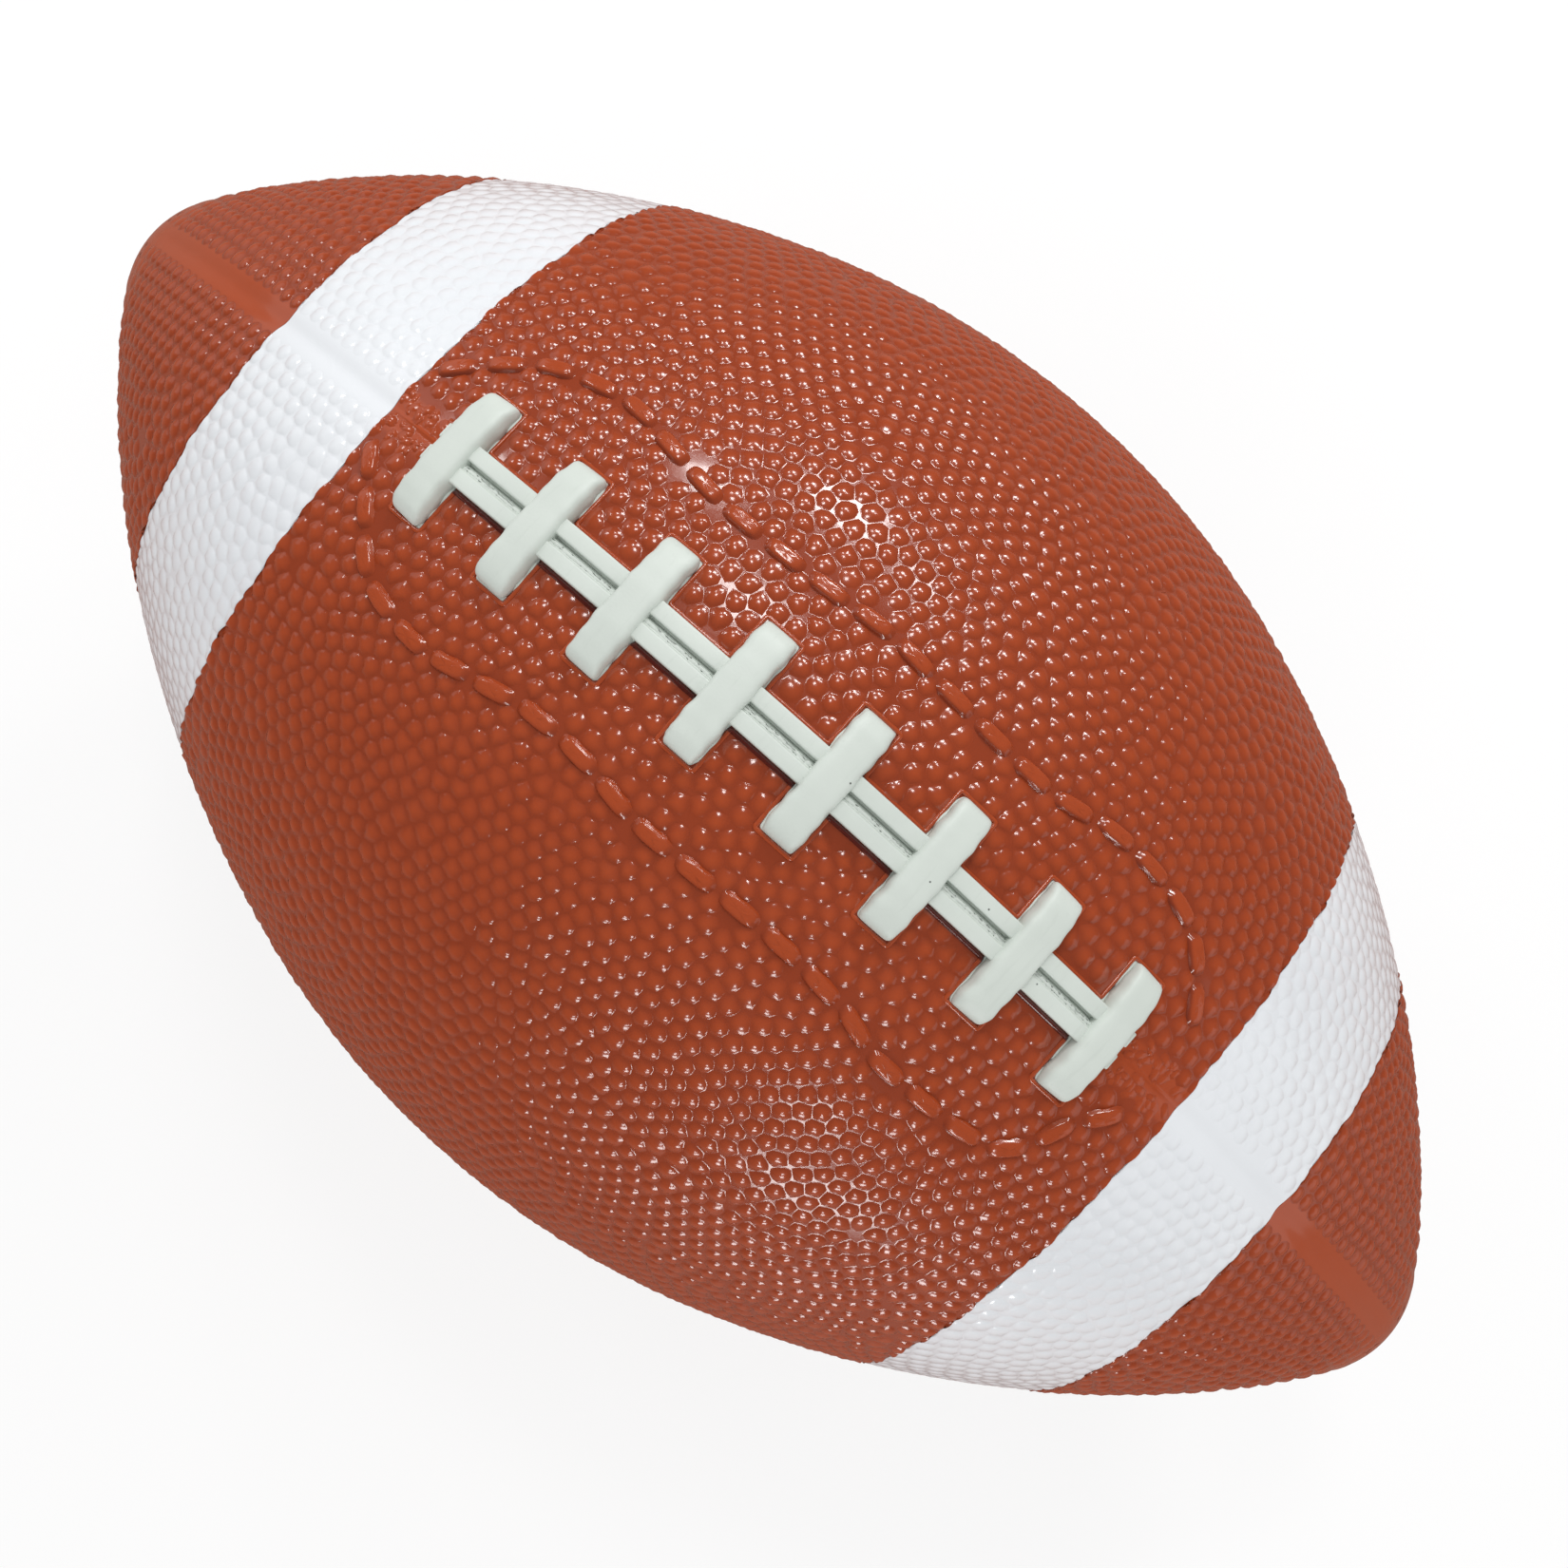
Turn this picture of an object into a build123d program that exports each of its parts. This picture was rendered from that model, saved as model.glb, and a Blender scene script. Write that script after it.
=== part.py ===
from build123d import *

import os
from itertools import pairwise
from math import asin, atan2, copysign, cos, hypot, pi, radians, sin, sqrt

# American football of moulded rubber, built up in layers: an air bladder with its valve, a nylon
# winding, four cover panels, white stripes let into the panels, and a moulded lace.
# Origin at the middle of the ball, +X along it to the front end, +Z up through the lace, +Y left.
# Lengths are in millimetres. A depth is measured inwards from the skin of the cover, and a setback
# along the skin from each end of the ball.

# Ball, over the cover
ball_length = 285.0
ball_diameter = 167.4
belly_radius = 151.5
belly_half_length = 48.4
nose_radius = 28.2

# Layers, from the outside inwards, with a film of glue between them
cover_thickness = 1.9
winding_thickness = 0.5
bladder_thickness = 0.8
bond_line = 0.05

# Seams, a smooth channel along each edge where two panels meet
seam_width = 6.0
seam_depth = 0.3
seam_setback = 15.0

# Stripes
stripe_setback = 66.4
stripe_width = 29.6
stripe_thickness = 0.8

# Lace, with crossbars over a strip of two rails
lace_offset = -2.0
lace_seat_depth = 0.5
lace_clearance = 0.1
bar_count = 8
bar_pitch = 17.7
bar_width = 5.8
bar_length = 21.8
bar_height = 3.3
bar_end_radius = 2.2
bar_edge_radius = 1.1
strip_width = 6.4
strip_height = 2.0
strip_overhang = 0.6
rail_edge_radius = 0.35
groove_width = 1.3
groove_depth = 1.0

# Valve, square to the skin in the middle of a lower panel
valve_turn = 135.0
valve_recess = 0.3
neck_diameter = 7.6
flange_diameter = 26.0
flange_thickness = 1.2
barrel_diameter = 10.0
barrel_length = 12.0
plug_diameter = 4.6
plug_length = 13.0
plug_recess = 0.4
collar_diameter = 6.4
collar_length = 2.4
collar_setback = 6.0
needle_duct_diameter = 2.3
needle_duct_length = 8.0
needle_mouth_diameter = 3.4
air_outlet_diameter = 1.6

# Every cut runs this far past what it cuts
overrun = 1.0

# Skin of the ball in side view: a belly arc, a flank arc and a nose arc, each tangent to the next
half_length = ball_length / 2
skin_radius = ball_diameter / 2
upright = pi / 2
belly_lean = asin(belly_half_length / belly_radius)
belly_centre = (0, skin_radius - belly_radius)
nose_centre = (half_length - nose_radius, 0)
flank_start = (belly_half_length, belly_centre[1] + belly_radius * cos(belly_lean))
nose_to_flank = (flank_start[0] - nose_centre[0], flank_start[1] - nose_centre[1])
nose_rise = nose_to_flank[0] * sin(belly_lean) + nose_to_flank[1] * cos(belly_lean)
flank_radius = (hypot(*nose_to_flank) ** 2 - nose_radius**2) / (2 * (nose_rise - nose_radius))
flank_centre = (
    flank_start[0] - flank_radius * sin(belly_lean),
    flank_start[1] - flank_radius * cos(belly_lean),
)
flank_lean = atan2(nose_centre[0] - flank_centre[0], nose_centre[1] - flank_centre[1])
belly_run = belly_radius * belly_lean
flank_run = flank_radius * (flank_lean - belly_lean)
half_run = belly_run + flank_run + nose_radius * (upright - flank_lean)
skin_bends = (-flank_lean, -belly_lean, belly_lean, flank_lean)

# Depths of the faces of the layers
winding_depth = cover_thickness + bond_line
bladder_depth = winding_depth + winding_thickness + bond_line
lining_depth = bladder_depth + bladder_thickness
flange_depth = lining_depth + bond_line

# Quarter of the ball that each panel covers, by the turn of its first seam about the long axis
quarter = 90
panel_turns = {"upper_right": 0, "lower_right": 90, "lower_left": 180, "upper_left": 270}
stripe_ends = {"front": 1, "rear": -1}


def lean_at(distance):
    """Angle in radians between the skin's normal and upright, at a distance along the skin."""
    run = abs(distance)
    if run <= belly_run:
        lean = run / belly_radius
    elif run <= belly_run + flank_run:
        lean = belly_lean + (run - belly_run) / flank_radius
    else:
        lean = flank_lean + (run - belly_run - flank_run) / nose_radius
    return copysign(lean, distance)


def skin_point(lean, height):
    """Side view point where the skin's normal has this lean, at a height off the skin."""
    tilt = abs(lean)
    if tilt <= belly_lean:
        centre, radius = belly_centre, belly_radius
    elif tilt <= flank_lean:
        centre, radius = flank_centre, flank_radius
    else:
        centre, radius = nose_centre, nose_radius
    reach = radius + height
    return copysign(centre[0] + reach * sin(tilt), lean), centre[1] + reach * cos(tilt)


def skin_arcs(height, first, last):
    """Draws the arcs along the skin between two leans, at a height off the skin."""
    stops = [first, *(bend for bend in skin_bends if first < bend < last), last]
    for start, end in pairwise(stops):
        middle = (start + end) / 2
        ThreePointArc(skin_point(start, height), skin_point(middle, height), skin_point(end, height))


def skin_band(outer, inner, first, last):
    """Draws the outline of a layer between two heights off the skin and two leans."""
    skin_arcs(outer, first, last)
    skin_arcs(inner, first, last)
    Line(skin_point(first, outer), skin_point(first, inner))
    Line(skin_point(last, outer), skin_point(last, inner))


def side_plane(turn):
    """Plane through the long axis, turned about it, with its own y pointing out of the ball."""
    angle = radians(turn)
    return Plane(origin=(0, 0, 0), x_dir=(1, 0, 0), z_dir=(0, -cos(angle), -sin(angle)))


def seam_channel(turn):
    """Cutter for the smooth channel along the seam at this turn."""
    seam_lean = lean_at(half_run - seam_setback)
    with BuildPart() as channel:
        with BuildSketch(side_plane(turn)):
            with BuildLine():
                skin_band(overrun, -seam_depth, -seam_lean, seam_lean)
            make_face()
        extrude(amount=seam_width / 2, both=True)
    return channel.part


# Lace: arched crossbars added to a swept strip, with the underside cut to the skin of the ball
def crossbar(distance, growth):
    """One crossbar at a distance along the skin, with rounded ends and edges."""
    lean = lean_at(distance)
    x, z = skin_point(lean, 0)
    outward = Axis((x, 0, z), (sin(lean), 0, cos(lean)))
    end_view = Plane(origin=(x, 0, z), x_dir=(0, 1, 0), z_dir=(cos(lean), 0, -sin(lean)))
    arch_radius = z / cos(lean)
    half_span = bar_length / 2 + growth
    arch_drop = arch_radius - sqrt(arch_radius**2 - half_span**2)
    root = arch_drop + lace_seat_depth + overrun
    with BuildPart() as bar:
        with BuildSketch(end_view) as arch:
            with Locations((0, -arch_radius)):
                Circle(arch_radius + bar_height)
            with Locations((0, bar_height)):
                Rectangle(2 * half_span, bar_height + root, align=(Align.CENTER, Align.MAX),
                          mode=Mode.INTERSECT)
            fillet(arch.vertices().group_by(Axis.Y)[-1], bar_end_radius + growth)
        extrude(amount=bar_width / 2 + growth, both=True)
        rims = bar.faces().filter_by(end_view).edges().sort_by(outward)[2:]
        fillet(rims, bar_edge_radius + growth)
    return bar.part


def lace_form(growth, seat):
    """The lace grown sideways by a clearance, cut underneath to a depth below the skin."""
    bar_places = [lace_offset + bar_pitch * (place - (bar_count - 1) / 2) for place in range(bar_count)]
    strip_reach = bar_width / 2 + strip_overhang + growth
    first = lean_at(bar_places[0] - strip_reach)
    last = lean_at(bar_places[-1] + strip_reach)
    bars = [crossbar(distance, growth) for distance in bar_places]
    with BuildPart() as form:
        with BuildLine(Plane.XZ) as keel:
            skin_arcs(0, first, last)
        with BuildSketch(Plane(origin=keel.line @ 0, x_dir=(0, 1, 0), z_dir=keel.line % 0)) as section:
            with Locations((0, strip_height)):
                Rectangle(strip_width + 2 * growth, strip_height + seat + overrun,
                          align=(Align.CENTER, Align.MAX))
                Rectangle(groove_width, groove_depth, align=(Align.CENTER, Align.MAX),
                          mode=Mode.SUBTRACT)
            fillet(section.vertices().group_by(Axis.Y)[-1], rail_edge_radius)
        sweep()
        add(bars)
        with BuildSketch(Plane.XZ):
            with BuildLine():
                skin_arcs(-seat, -upright, upright)
                Line(skin_point(-upright, -seat), skin_point(upright, -seat))
            make_face()
        revolve(axis=Axis.X, mode=Mode.SUBTRACT)
    return form.part


# Valve: a plug in a housing, on an axis that runs out through the middle of a lower panel
valve_section = side_plane(valve_turn)
valve_axis = Axis((0, 0, 0), valve_section.y_dir)
valve_plane = Plane(origin=(0, 0, 0), x_dir=(1, 0, 0), z_dir=valve_section.y_dir)
neck_top = skin_radius - valve_recess
flange_middle = skin_radius - flange_depth - flange_thickness / 2
barrel_foot = flange_middle - barrel_length
plug_top = neck_top - plug_recess
plug_foot = plug_top - plug_length
collar_top = plug_top - collar_setback


def plug_outline(top, growth):
    """Draws half of the plug's section, with its collar, grown by a clearance."""
    body = plug_diameter / 2 + growth
    collar = collar_diameter / 2 + growth
    upper = collar_top + growth
    lower = collar_top - collar_length - growth
    foot = plug_foot - growth
    Polyline((0, top), (body, top), (body, upper), (collar, upper), (collar, lower), (body, lower),
             (body, foot), (0, foot), close=True)


with BuildPart() as neck_hole:
    with BuildSketch(valve_plane.offset(barrel_foot)):
        Circle(neck_diameter / 2 + bond_line)
    extrude(amount=skin_radius + overrun - barrel_foot)

with BuildPart() as valve_plug:
    with BuildSketch(valve_section):
        with BuildLine():
            plug_outline(plug_top, 0)
        make_face()
    revolve(axis=valve_axis)
    with Locations(valve_plane.offset(plug_top)):
        CounterSinkHole(needle_duct_diameter / 2, needle_mouth_diameter / 2, depth=needle_duct_length)

with BuildPart() as valve_housing:
    with BuildSketch(valve_plane):
        Circle(flange_diameter / 2)
    extrude(amount=skin_radius)
    with BuildSketch(Plane.XZ):
        with BuildLine():
            skin_band(-flange_depth, -flange_depth - flange_thickness, -upright, upright)
        make_face()
    revolve(axis=Axis.X, mode=Mode.INTERSECT)
    with BuildSketch(valve_plane.offset(flange_middle)):
        Circle(neck_diameter / 2)
    extrude(amount=neck_top - flange_middle)
    with BuildSketch(valve_plane.offset(barrel_foot)):
        Circle(barrel_diameter / 2)
    extrude(amount=flange_middle - barrel_foot)
    with BuildSketch(valve_section):
        with BuildLine():
            plug_outline(neck_top + overrun, bond_line)
        make_face()
    revolve(axis=valve_axis, mode=Mode.SUBTRACT)
    with Locations(valve_plane.offset(plug_foot)):
        Hole(air_outlet_diameter / 2, depth=plug_foot - barrel_foot + overrun)

# Bladder and winding, closed shells that the valve's neck passes through
with BuildPart() as bladder:
    with BuildSketch(Plane.XZ):
        with BuildLine():
            skin_band(-bladder_depth, -lining_depth, -upright, upright)
        make_face()
    revolve(axis=Axis.X)
    add(neck_hole.part, mode=Mode.SUBTRACT)

with BuildPart() as nylon_winding:
    with BuildSketch(Plane.XZ):
        with BuildLine():
            skin_band(-winding_depth, -winding_depth - winding_thickness, -upright, upright)
        make_face()
    revolve(axis=Axis.X)
    add(neck_hole.part, mode=Mode.SUBTRACT)

lace = lace_form(0, lace_seat_depth)
lace_seat = lace_form(lace_clearance, lace_seat_depth + bond_line)
panel_cuts = {
    "upper_right": lace_seat,
    "upper_left": lace_seat,
    "lower_right": neck_hole.part,
    "lower_left": None,
}
pieces = {
    "bladder": bladder.part,
    "valve_housing": valve_housing.part,
    "valve_plug": valve_plug.part,
    "nylon_winding": nylon_winding.part,
    "lace": lace,
}

# Cover panels and the stripes let into them, made as one quarter of the ball and turned into place
stripe_end = half_run - stripe_setback
stripe_start = stripe_end - stripe_width
channels = [seam_channel(0), seam_channel(quarter)]
quarter_stripes = {}
for end, side in stripe_ends.items():
    near, far = sorted((side * stripe_start, side * stripe_end))
    with BuildPart() as stripe:
        with BuildSketch(Plane.XZ):
            with BuildLine():
                skin_band(0, -stripe_thickness, lean_at(near), lean_at(far))
            make_face()
        revolve(axis=Axis.X, revolution_arc=quarter)
        add(channels, mode=Mode.SUBTRACT)
    quarter_stripes[end] = stripe.part

with BuildPart() as quarter_panel:
    with BuildSketch(Plane.XZ):
        with BuildLine():
            skin_band(0, -cover_thickness, -upright, upright)
        make_face()
    revolve(axis=Axis.X, revolution_arc=quarter)
    for side in stripe_ends.values():
        near, far = sorted((side * (stripe_start - bond_line), side * (stripe_end + bond_line)))
        with BuildSketch(Plane.XZ):
            with BuildLine():
                skin_band(overrun, -stripe_thickness - bond_line, lean_at(near), lean_at(far))
            make_face()
        revolve(axis=Axis.X, revolution_arc=quarter, mode=Mode.SUBTRACT)
    add(channels, mode=Mode.SUBTRACT)

for place, turn in panel_turns.items():
    with BuildPart() as panel:
        add(quarter_panel.part, rotation=(turn, 0, 0))
        if panel_cuts[place]:
            add(panel_cuts[place], mode=Mode.SUBTRACT)
    pieces[f"panel_{place}"] = panel.part
    for end, form in quarter_stripes.items():
        with BuildPart() as stripe:
            add(form, rotation=(turn, 0, 0))
        pieces[f"stripe_{end}_{place}"] = stripe.part

os.makedirs("parts", exist_ok=True)
for name, piece in pieces.items():
    piece.label = name
    export_step(piece, f"parts/{name}.step")
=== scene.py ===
import logging
from dataclasses import dataclass, field
from enum import Enum
from math import asin, atan2, cos, hypot, pi, radians, sin
from typing import Any, Callable, Optional, Sequence, Union

import bpy
import numpy as np
from mathutils import Matrix, Vector


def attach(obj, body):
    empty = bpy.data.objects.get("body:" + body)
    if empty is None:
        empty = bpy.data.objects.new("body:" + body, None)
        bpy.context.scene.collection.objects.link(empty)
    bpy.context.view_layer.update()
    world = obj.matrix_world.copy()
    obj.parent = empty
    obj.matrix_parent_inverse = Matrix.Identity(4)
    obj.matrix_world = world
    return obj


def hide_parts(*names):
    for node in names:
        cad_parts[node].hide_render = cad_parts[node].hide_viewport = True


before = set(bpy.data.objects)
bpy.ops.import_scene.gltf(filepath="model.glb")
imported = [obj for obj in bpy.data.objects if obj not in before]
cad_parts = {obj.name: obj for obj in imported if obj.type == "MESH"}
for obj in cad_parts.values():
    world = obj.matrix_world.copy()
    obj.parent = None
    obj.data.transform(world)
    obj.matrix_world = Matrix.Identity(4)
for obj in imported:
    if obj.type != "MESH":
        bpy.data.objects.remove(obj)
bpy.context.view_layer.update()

# American football of moulded rubber: a pebbled cover in four panels, white stripes, a moulded lace and a
# needle valve. Every size here is in millimetres, in the frame of the solids: +X along the ball, +Z up
# through the lace, +Y left.

log = logging.getLogger("football")

MM = 0.001
QUARTER = pi / 2
TURN = 2 * pi
BODY = "root"
# Point attribute that holds painted shade, from 0 to 1, for the cover's colour
PAINTED_SHADE = "painted_shade"
SPECK_CORE_SHARE = 0.5

# Inputs of a Mix node that take its two colours, and the output that gives the mix
MIX_COLOURS = (6, 7)
MIX_RESULT = 2

Number = Union[float, np.ndarray]
Bound = Callable[[np.ndarray, np.ndarray, np.ndarray], np.ndarray]
Room = Callable[[np.ndarray, np.ndarray], np.ndarray]
Level = Callable[[np.ndarray, np.ndarray], np.ndarray]
Colour = tuple[float, float, float]


def smoothstep(value: Number, start: float, end: float) -> np.ndarray:
    """Eases from 0 at start to 1 at end as 3t^2 - 2t^3.

    Args:
        value: Number or array to ease.
        start: Value that gives 0.
        end: Value that gives 1.

    Returns:
        The eased numbers.
    """
    share = np.clip((np.asarray(value) - start) / (end - start), 0, 1)
    return share * share * (3 - 2 * share)


def power_cos(turn: np.ndarray, exponent: float) -> np.ndarray:
    """Cosine with its size raised to 2 / exponent, the first coordinate of a superellipse."""
    return np.sign(np.cos(turn)) * np.abs(np.cos(turn)) ** (2 / exponent)


def power_sin(turn: np.ndarray, exponent: float) -> np.ndarray:
    """Sine with its size raised to 2 / exponent, the second coordinate of a superellipse."""
    return np.sign(np.sin(turn)) * np.abs(np.sin(turn)) ** (2 / exponent)


def turns_round(sides: int) -> np.ndarray:
    """Directions round a full turn, evenly spaced from 0."""
    return np.arange(sides) * TURN / sides


def rounded_path(points: np.ndarray, radius: float, steps: int) -> np.ndarray:
    """Rounds the corners of a path with quadratic curves.

    Each corner v becomes (1-t)^2 p + 2t(1-t) v + t^2 q, where p and q lie on the two sides at the radius
    from the corner. The first and last points stay as they are.

    Args:
        points: Corners of the path, one row each.
        radius: How far from each corner its curve starts and ends.
        steps: Points along each curve.

    Returns:
        Points of the rounded path.
    """
    before, corner, after = points[:-2], points[1:-1], points[2:]
    back = before - corner
    ahead = after - corner
    start = corner + back * (radius / np.linalg.norm(back, axis=1))[:, None]
    end = corner + ahead * (radius / np.linalg.norm(ahead, axis=1))[:, None]
    share = np.linspace(0, 1, steps)[None, :, None]
    curve = (1 - share) ** 2 * start[:, None] + 2 * share * (1 - share) * corner[:, None]
    curve = curve + share**2 * end[:, None]
    return np.concatenate((points[:1], curve.reshape(-1, points.shape[1]), points[-1:]))


class Place(Enum):
    """Quarter of the ball that a panel covers, with the angle of its first seam in quarter turns."""

    UPPER_LEFT = ("upper_left", 0)
    LOWER_LEFT = ("lower_left", 1)
    LOWER_RIGHT = ("lower_right", 2)
    UPPER_RIGHT = ("upper_right", 3)

    @property
    def label(self) -> str:
        """Words for this place in a node's name."""
        return self.value[0]

    @property
    def start(self) -> float:
        """Angle of the first seam about X, from the lace towards the left."""
        return self.value[1] * QUARTER


class End(Enum):
    """End of the ball that a stripe is near, with the sign of its run."""

    FRONT = ("front", 1)
    REAR = ("rear", -1)

    @property
    def label(self) -> str:
        """Word for this end in a node's name."""
        return self.value[0]

    @property
    def side(self) -> int:
        """Sign of the run at this end."""
        return self.value[1]


@dataclass
class FaceBlock:
    """Faces with the same number of corners and the same shading."""

    corners: np.ndarray
    smooth: bool


@dataclass
class Form:
    """Closed shells as points in millimetres and blocks of faces.

    Points of smooth faces may have a normal of their own, and zeros leave it to the faces around. Points
    may also hold painted shade, from 0 to 1, which a finish can show as a darker colour.
    """

    points: np.ndarray
    blocks: list[FaceBlock]
    normals: Optional[np.ndarray] = None
    painted_shade: Optional[np.ndarray] = None

    def __post_init__(self) -> None:
        """Leaves the normals to the faces, and the points without painted shade, where nothing else is given.
        """
        if self.normals is None:
            self.normals = np.zeros_like(self.points)
        if self.painted_shade is None:
            self.painted_shade = np.zeros(len(self.points))

    @staticmethod
    def joined(forms: Sequence["Form"]) -> "Form":
        """Puts several forms into one.

        Args:
            forms: Forms to join, which keep their own points.

        Returns:
            One form with all points and faces.
        """
        starts = np.cumsum([0] + [len(form.points) for form in forms])
        blocks = [
            FaceBlock(block.corners + start, block.smooth)
            for form, start in zip(forms, starts)
            for block in form.blocks
        ]
        points = np.concatenate([form.points for form in forms])
        normals = np.concatenate([form.normals for form in forms])
        return Form(points, blocks, normals, np.concatenate([form.painted_shade for form in forms]))

    def to_object(self, name: str, material: bpy.types.Material) -> bpy.types.Object:
        """Makes the mesh object.

        Args:
            name: Name of the object and its mesh.
            material: Finish of all its faces.

        Returns:
            The object, linked to the scene at the origin.
        """
        corners = np.concatenate([block.corners.ravel() for block in self.blocks])
        sizes = np.concatenate([np.full(len(b.corners), b.corners.shape[1]) for b in self.blocks])
        smooth = np.concatenate([np.full(len(b.corners), b.smooth) for b in self.blocks])
        normals = self.normals[corners] * np.repeat(smooth, sizes)[:, None]
        used, corners = np.unique(corners, return_inverse=True)
        mesh = bpy.data.meshes.new(name)
        mesh.vertices.add(len(used))
        mesh.vertices.foreach_set("co", (self.points[used] * MM).astype(np.float32).ravel())
        mesh.loops.add(len(corners))
        mesh.loops.foreach_set("vertex_index", corners.astype(np.int32).ravel())
        mesh.polygons.add(len(sizes))
        mesh.polygons.foreach_set("loop_start", (np.cumsum(sizes) - sizes).astype(np.int32))
        mesh.polygons.foreach_set("use_smooth", smooth)
        mesh.update(calc_edges=True)
        mesh.normals_split_custom_set(normals.tolist())
        # Stores the painted shade as a point attribute
        if self.painted_shade.any():
            layer = mesh.attributes.new(PAINTED_SHADE, "FLOAT", "POINT")
            layer.data.foreach_set("value", self.painted_shade[used].astype(np.float32))
        mesh.materials.append(material)
        piece = bpy.data.objects.new(name, mesh)
        bpy.context.scene.collection.objects.link(piece)
        return piece


def grid_blocks(index: np.ndarray, smooth: bool) -> list[FaceBlock]:
    """Faces of a grid of point numbers, whose outside is where its rows cross its columns.

    A row whose points are all one point is a pole, and its faces are triangles.

    Args:
        index: Point numbers, rows by columns.
        smooth: Whether the faces shade as one curved surface.

    Returns:
        Blocks of quads and triangles.
    """
    quads = np.stack((index[:-1, :-1], index[1:, :-1], index[1:, 1:], index[:-1, 1:]), axis=-1).reshape(-1, 4)
    first_pole = quads[:, 0] == quads[:, 3]
    last_pole = quads[:, 1] == quads[:, 2]
    blocks = [
        FaceBlock(quads[~first_pole & ~last_pole], smooth),
        FaceBlock(quads[first_pole & ~last_pole][:, :3], smooth),
        FaceBlock(quads[last_pole & ~first_pole][:, (0, 1, 3)], smooth),
    ]
    return [block for block in blocks if len(block.corners)]


def slab_form(outer: np.ndarray, inner: np.ndarray, poles: bool, steps: Sequence[int] = ()) -> Form:
    """Closed slab between an outer and an inner grid of points.

    Args:
        outer: Points of the outer face, rows by columns.
        inner: Points of the inner face, with as many rows, and as many columns unless both ends are poles.
        poles: Whether the first and the last row are one point each.
        steps: Rows of the outer face after which it steps up or down.

    Returns:
        The slab, smooth outside and flat on its walls and inside.
    """
    top = np.arange(outer.shape[0] * outer.shape[1]).reshape(outer.shape[:2])
    under = top.size + np.arange(inner.shape[0] * inner.shape[1]).reshape(inner.shape[:2])
    if poles:
        for index in (top, under):
            index[0] = index[0, 0]
            index[-1] = index[-1, 0]
    walls = [
        np.stack((under[:, 0], top[:, 0]), axis=1),
        np.stack((top[:, -1], under[:, -1]), axis=1),
    ]
    if not poles:
        walls.append(np.stack((under[-1], top[-1]), axis=1))
        walls.append(np.stack((top[0], under[0]), axis=1))
    blocks = grid_blocks(under[:, ::-1], False)
    for span in np.split(top, steps):
        blocks += grid_blocks(span, True)
    walls += [top[step - 1:step + 1] for step in steps]
    for wall in walls:
        blocks += grid_blocks(wall, False)
    return Form(np.concatenate((outer.reshape(-1, 3), inner.reshape(-1, 3))), blocks)


def cap_forms(
    points: np.ndarray, normals: Optional[np.ndarray] = None, painted_shade: Optional[np.ndarray] = None
) -> Form:
    """Many small raised caps of one build, each closed underneath.

    Args:
        points: Caps by rings by sides by coordinates. Every first ring is one point, the top of the cap, and
            the sides go round it anticlockwise as seen from outside.
        normals: Normals of the points, if the faces are too few to give them.
        painted_shade: Painted shade on the points, or on each ring, if there is any.

    Returns:
        All caps, smooth above and flat underneath.
    """
    count, rings, sides = points.shape[:3]
    starts = np.arange(count)[:, None, None] * (rings * sides)
    index = starts + np.arange(rings * sides).reshape(rings, sides)
    index[:, 0] = index[:, 0, :1]
    wrapped = np.concatenate((index, index[:, :, :1]), axis=2)
    fan = np.stack((wrapped[:, 0, :-1], wrapped[:, 1, :-1], wrapped[:, 1, 1:]), axis=-1).reshape(-1, 3)
    skirt = np.stack(
        (wrapped[:, 1:-1, :-1], wrapped[:, 2:, :-1], wrapped[:, 2:, 1:], wrapped[:, 1:-1, 1:]), axis=-1
    ).reshape(-1, 4)
    under = index[:, -1, ::-1]
    blocks = [FaceBlock(fan, True), FaceBlock(skirt, True), FaceBlock(under, False)]
    normals = None if normals is None else normals.reshape(-1, 3)
    painted_shade = None if painted_shade is None else np.broadcast_to(painted_shade, points.shape[:3]).ravel()
    return Form(points.reshape(-1, 3), blocks, normals, painted_shade)


def tube_form(points: np.ndarray, closed: bool) -> Form:
    """Section carried along a path.

    Args:
        points: Places along the path by points round the section by coordinates. The outside is where the
            path crosses the direction round the section.
        closed: Whether the path runs back to its start. An open path gets a flat face at each end, or none
            where the section there is one point.

    Returns:
        The closed form.
    """
    rows, columns = points.shape[:2]
    index = np.arange(rows * columns).reshape(rows, columns)
    wrapped = np.concatenate((index, index[:, :1]), axis=1)
    if closed:
        wrapped = np.concatenate((wrapped, wrapped[:1]))
    blocks = grid_blocks(wrapped, True)
    if not closed:
        blocks.append(FaceBlock(index[:1], False))
        blocks.append(FaceBlock(index[-1:, ::-1], False))
    return Form(points.reshape(-1, 3), blocks)


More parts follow.
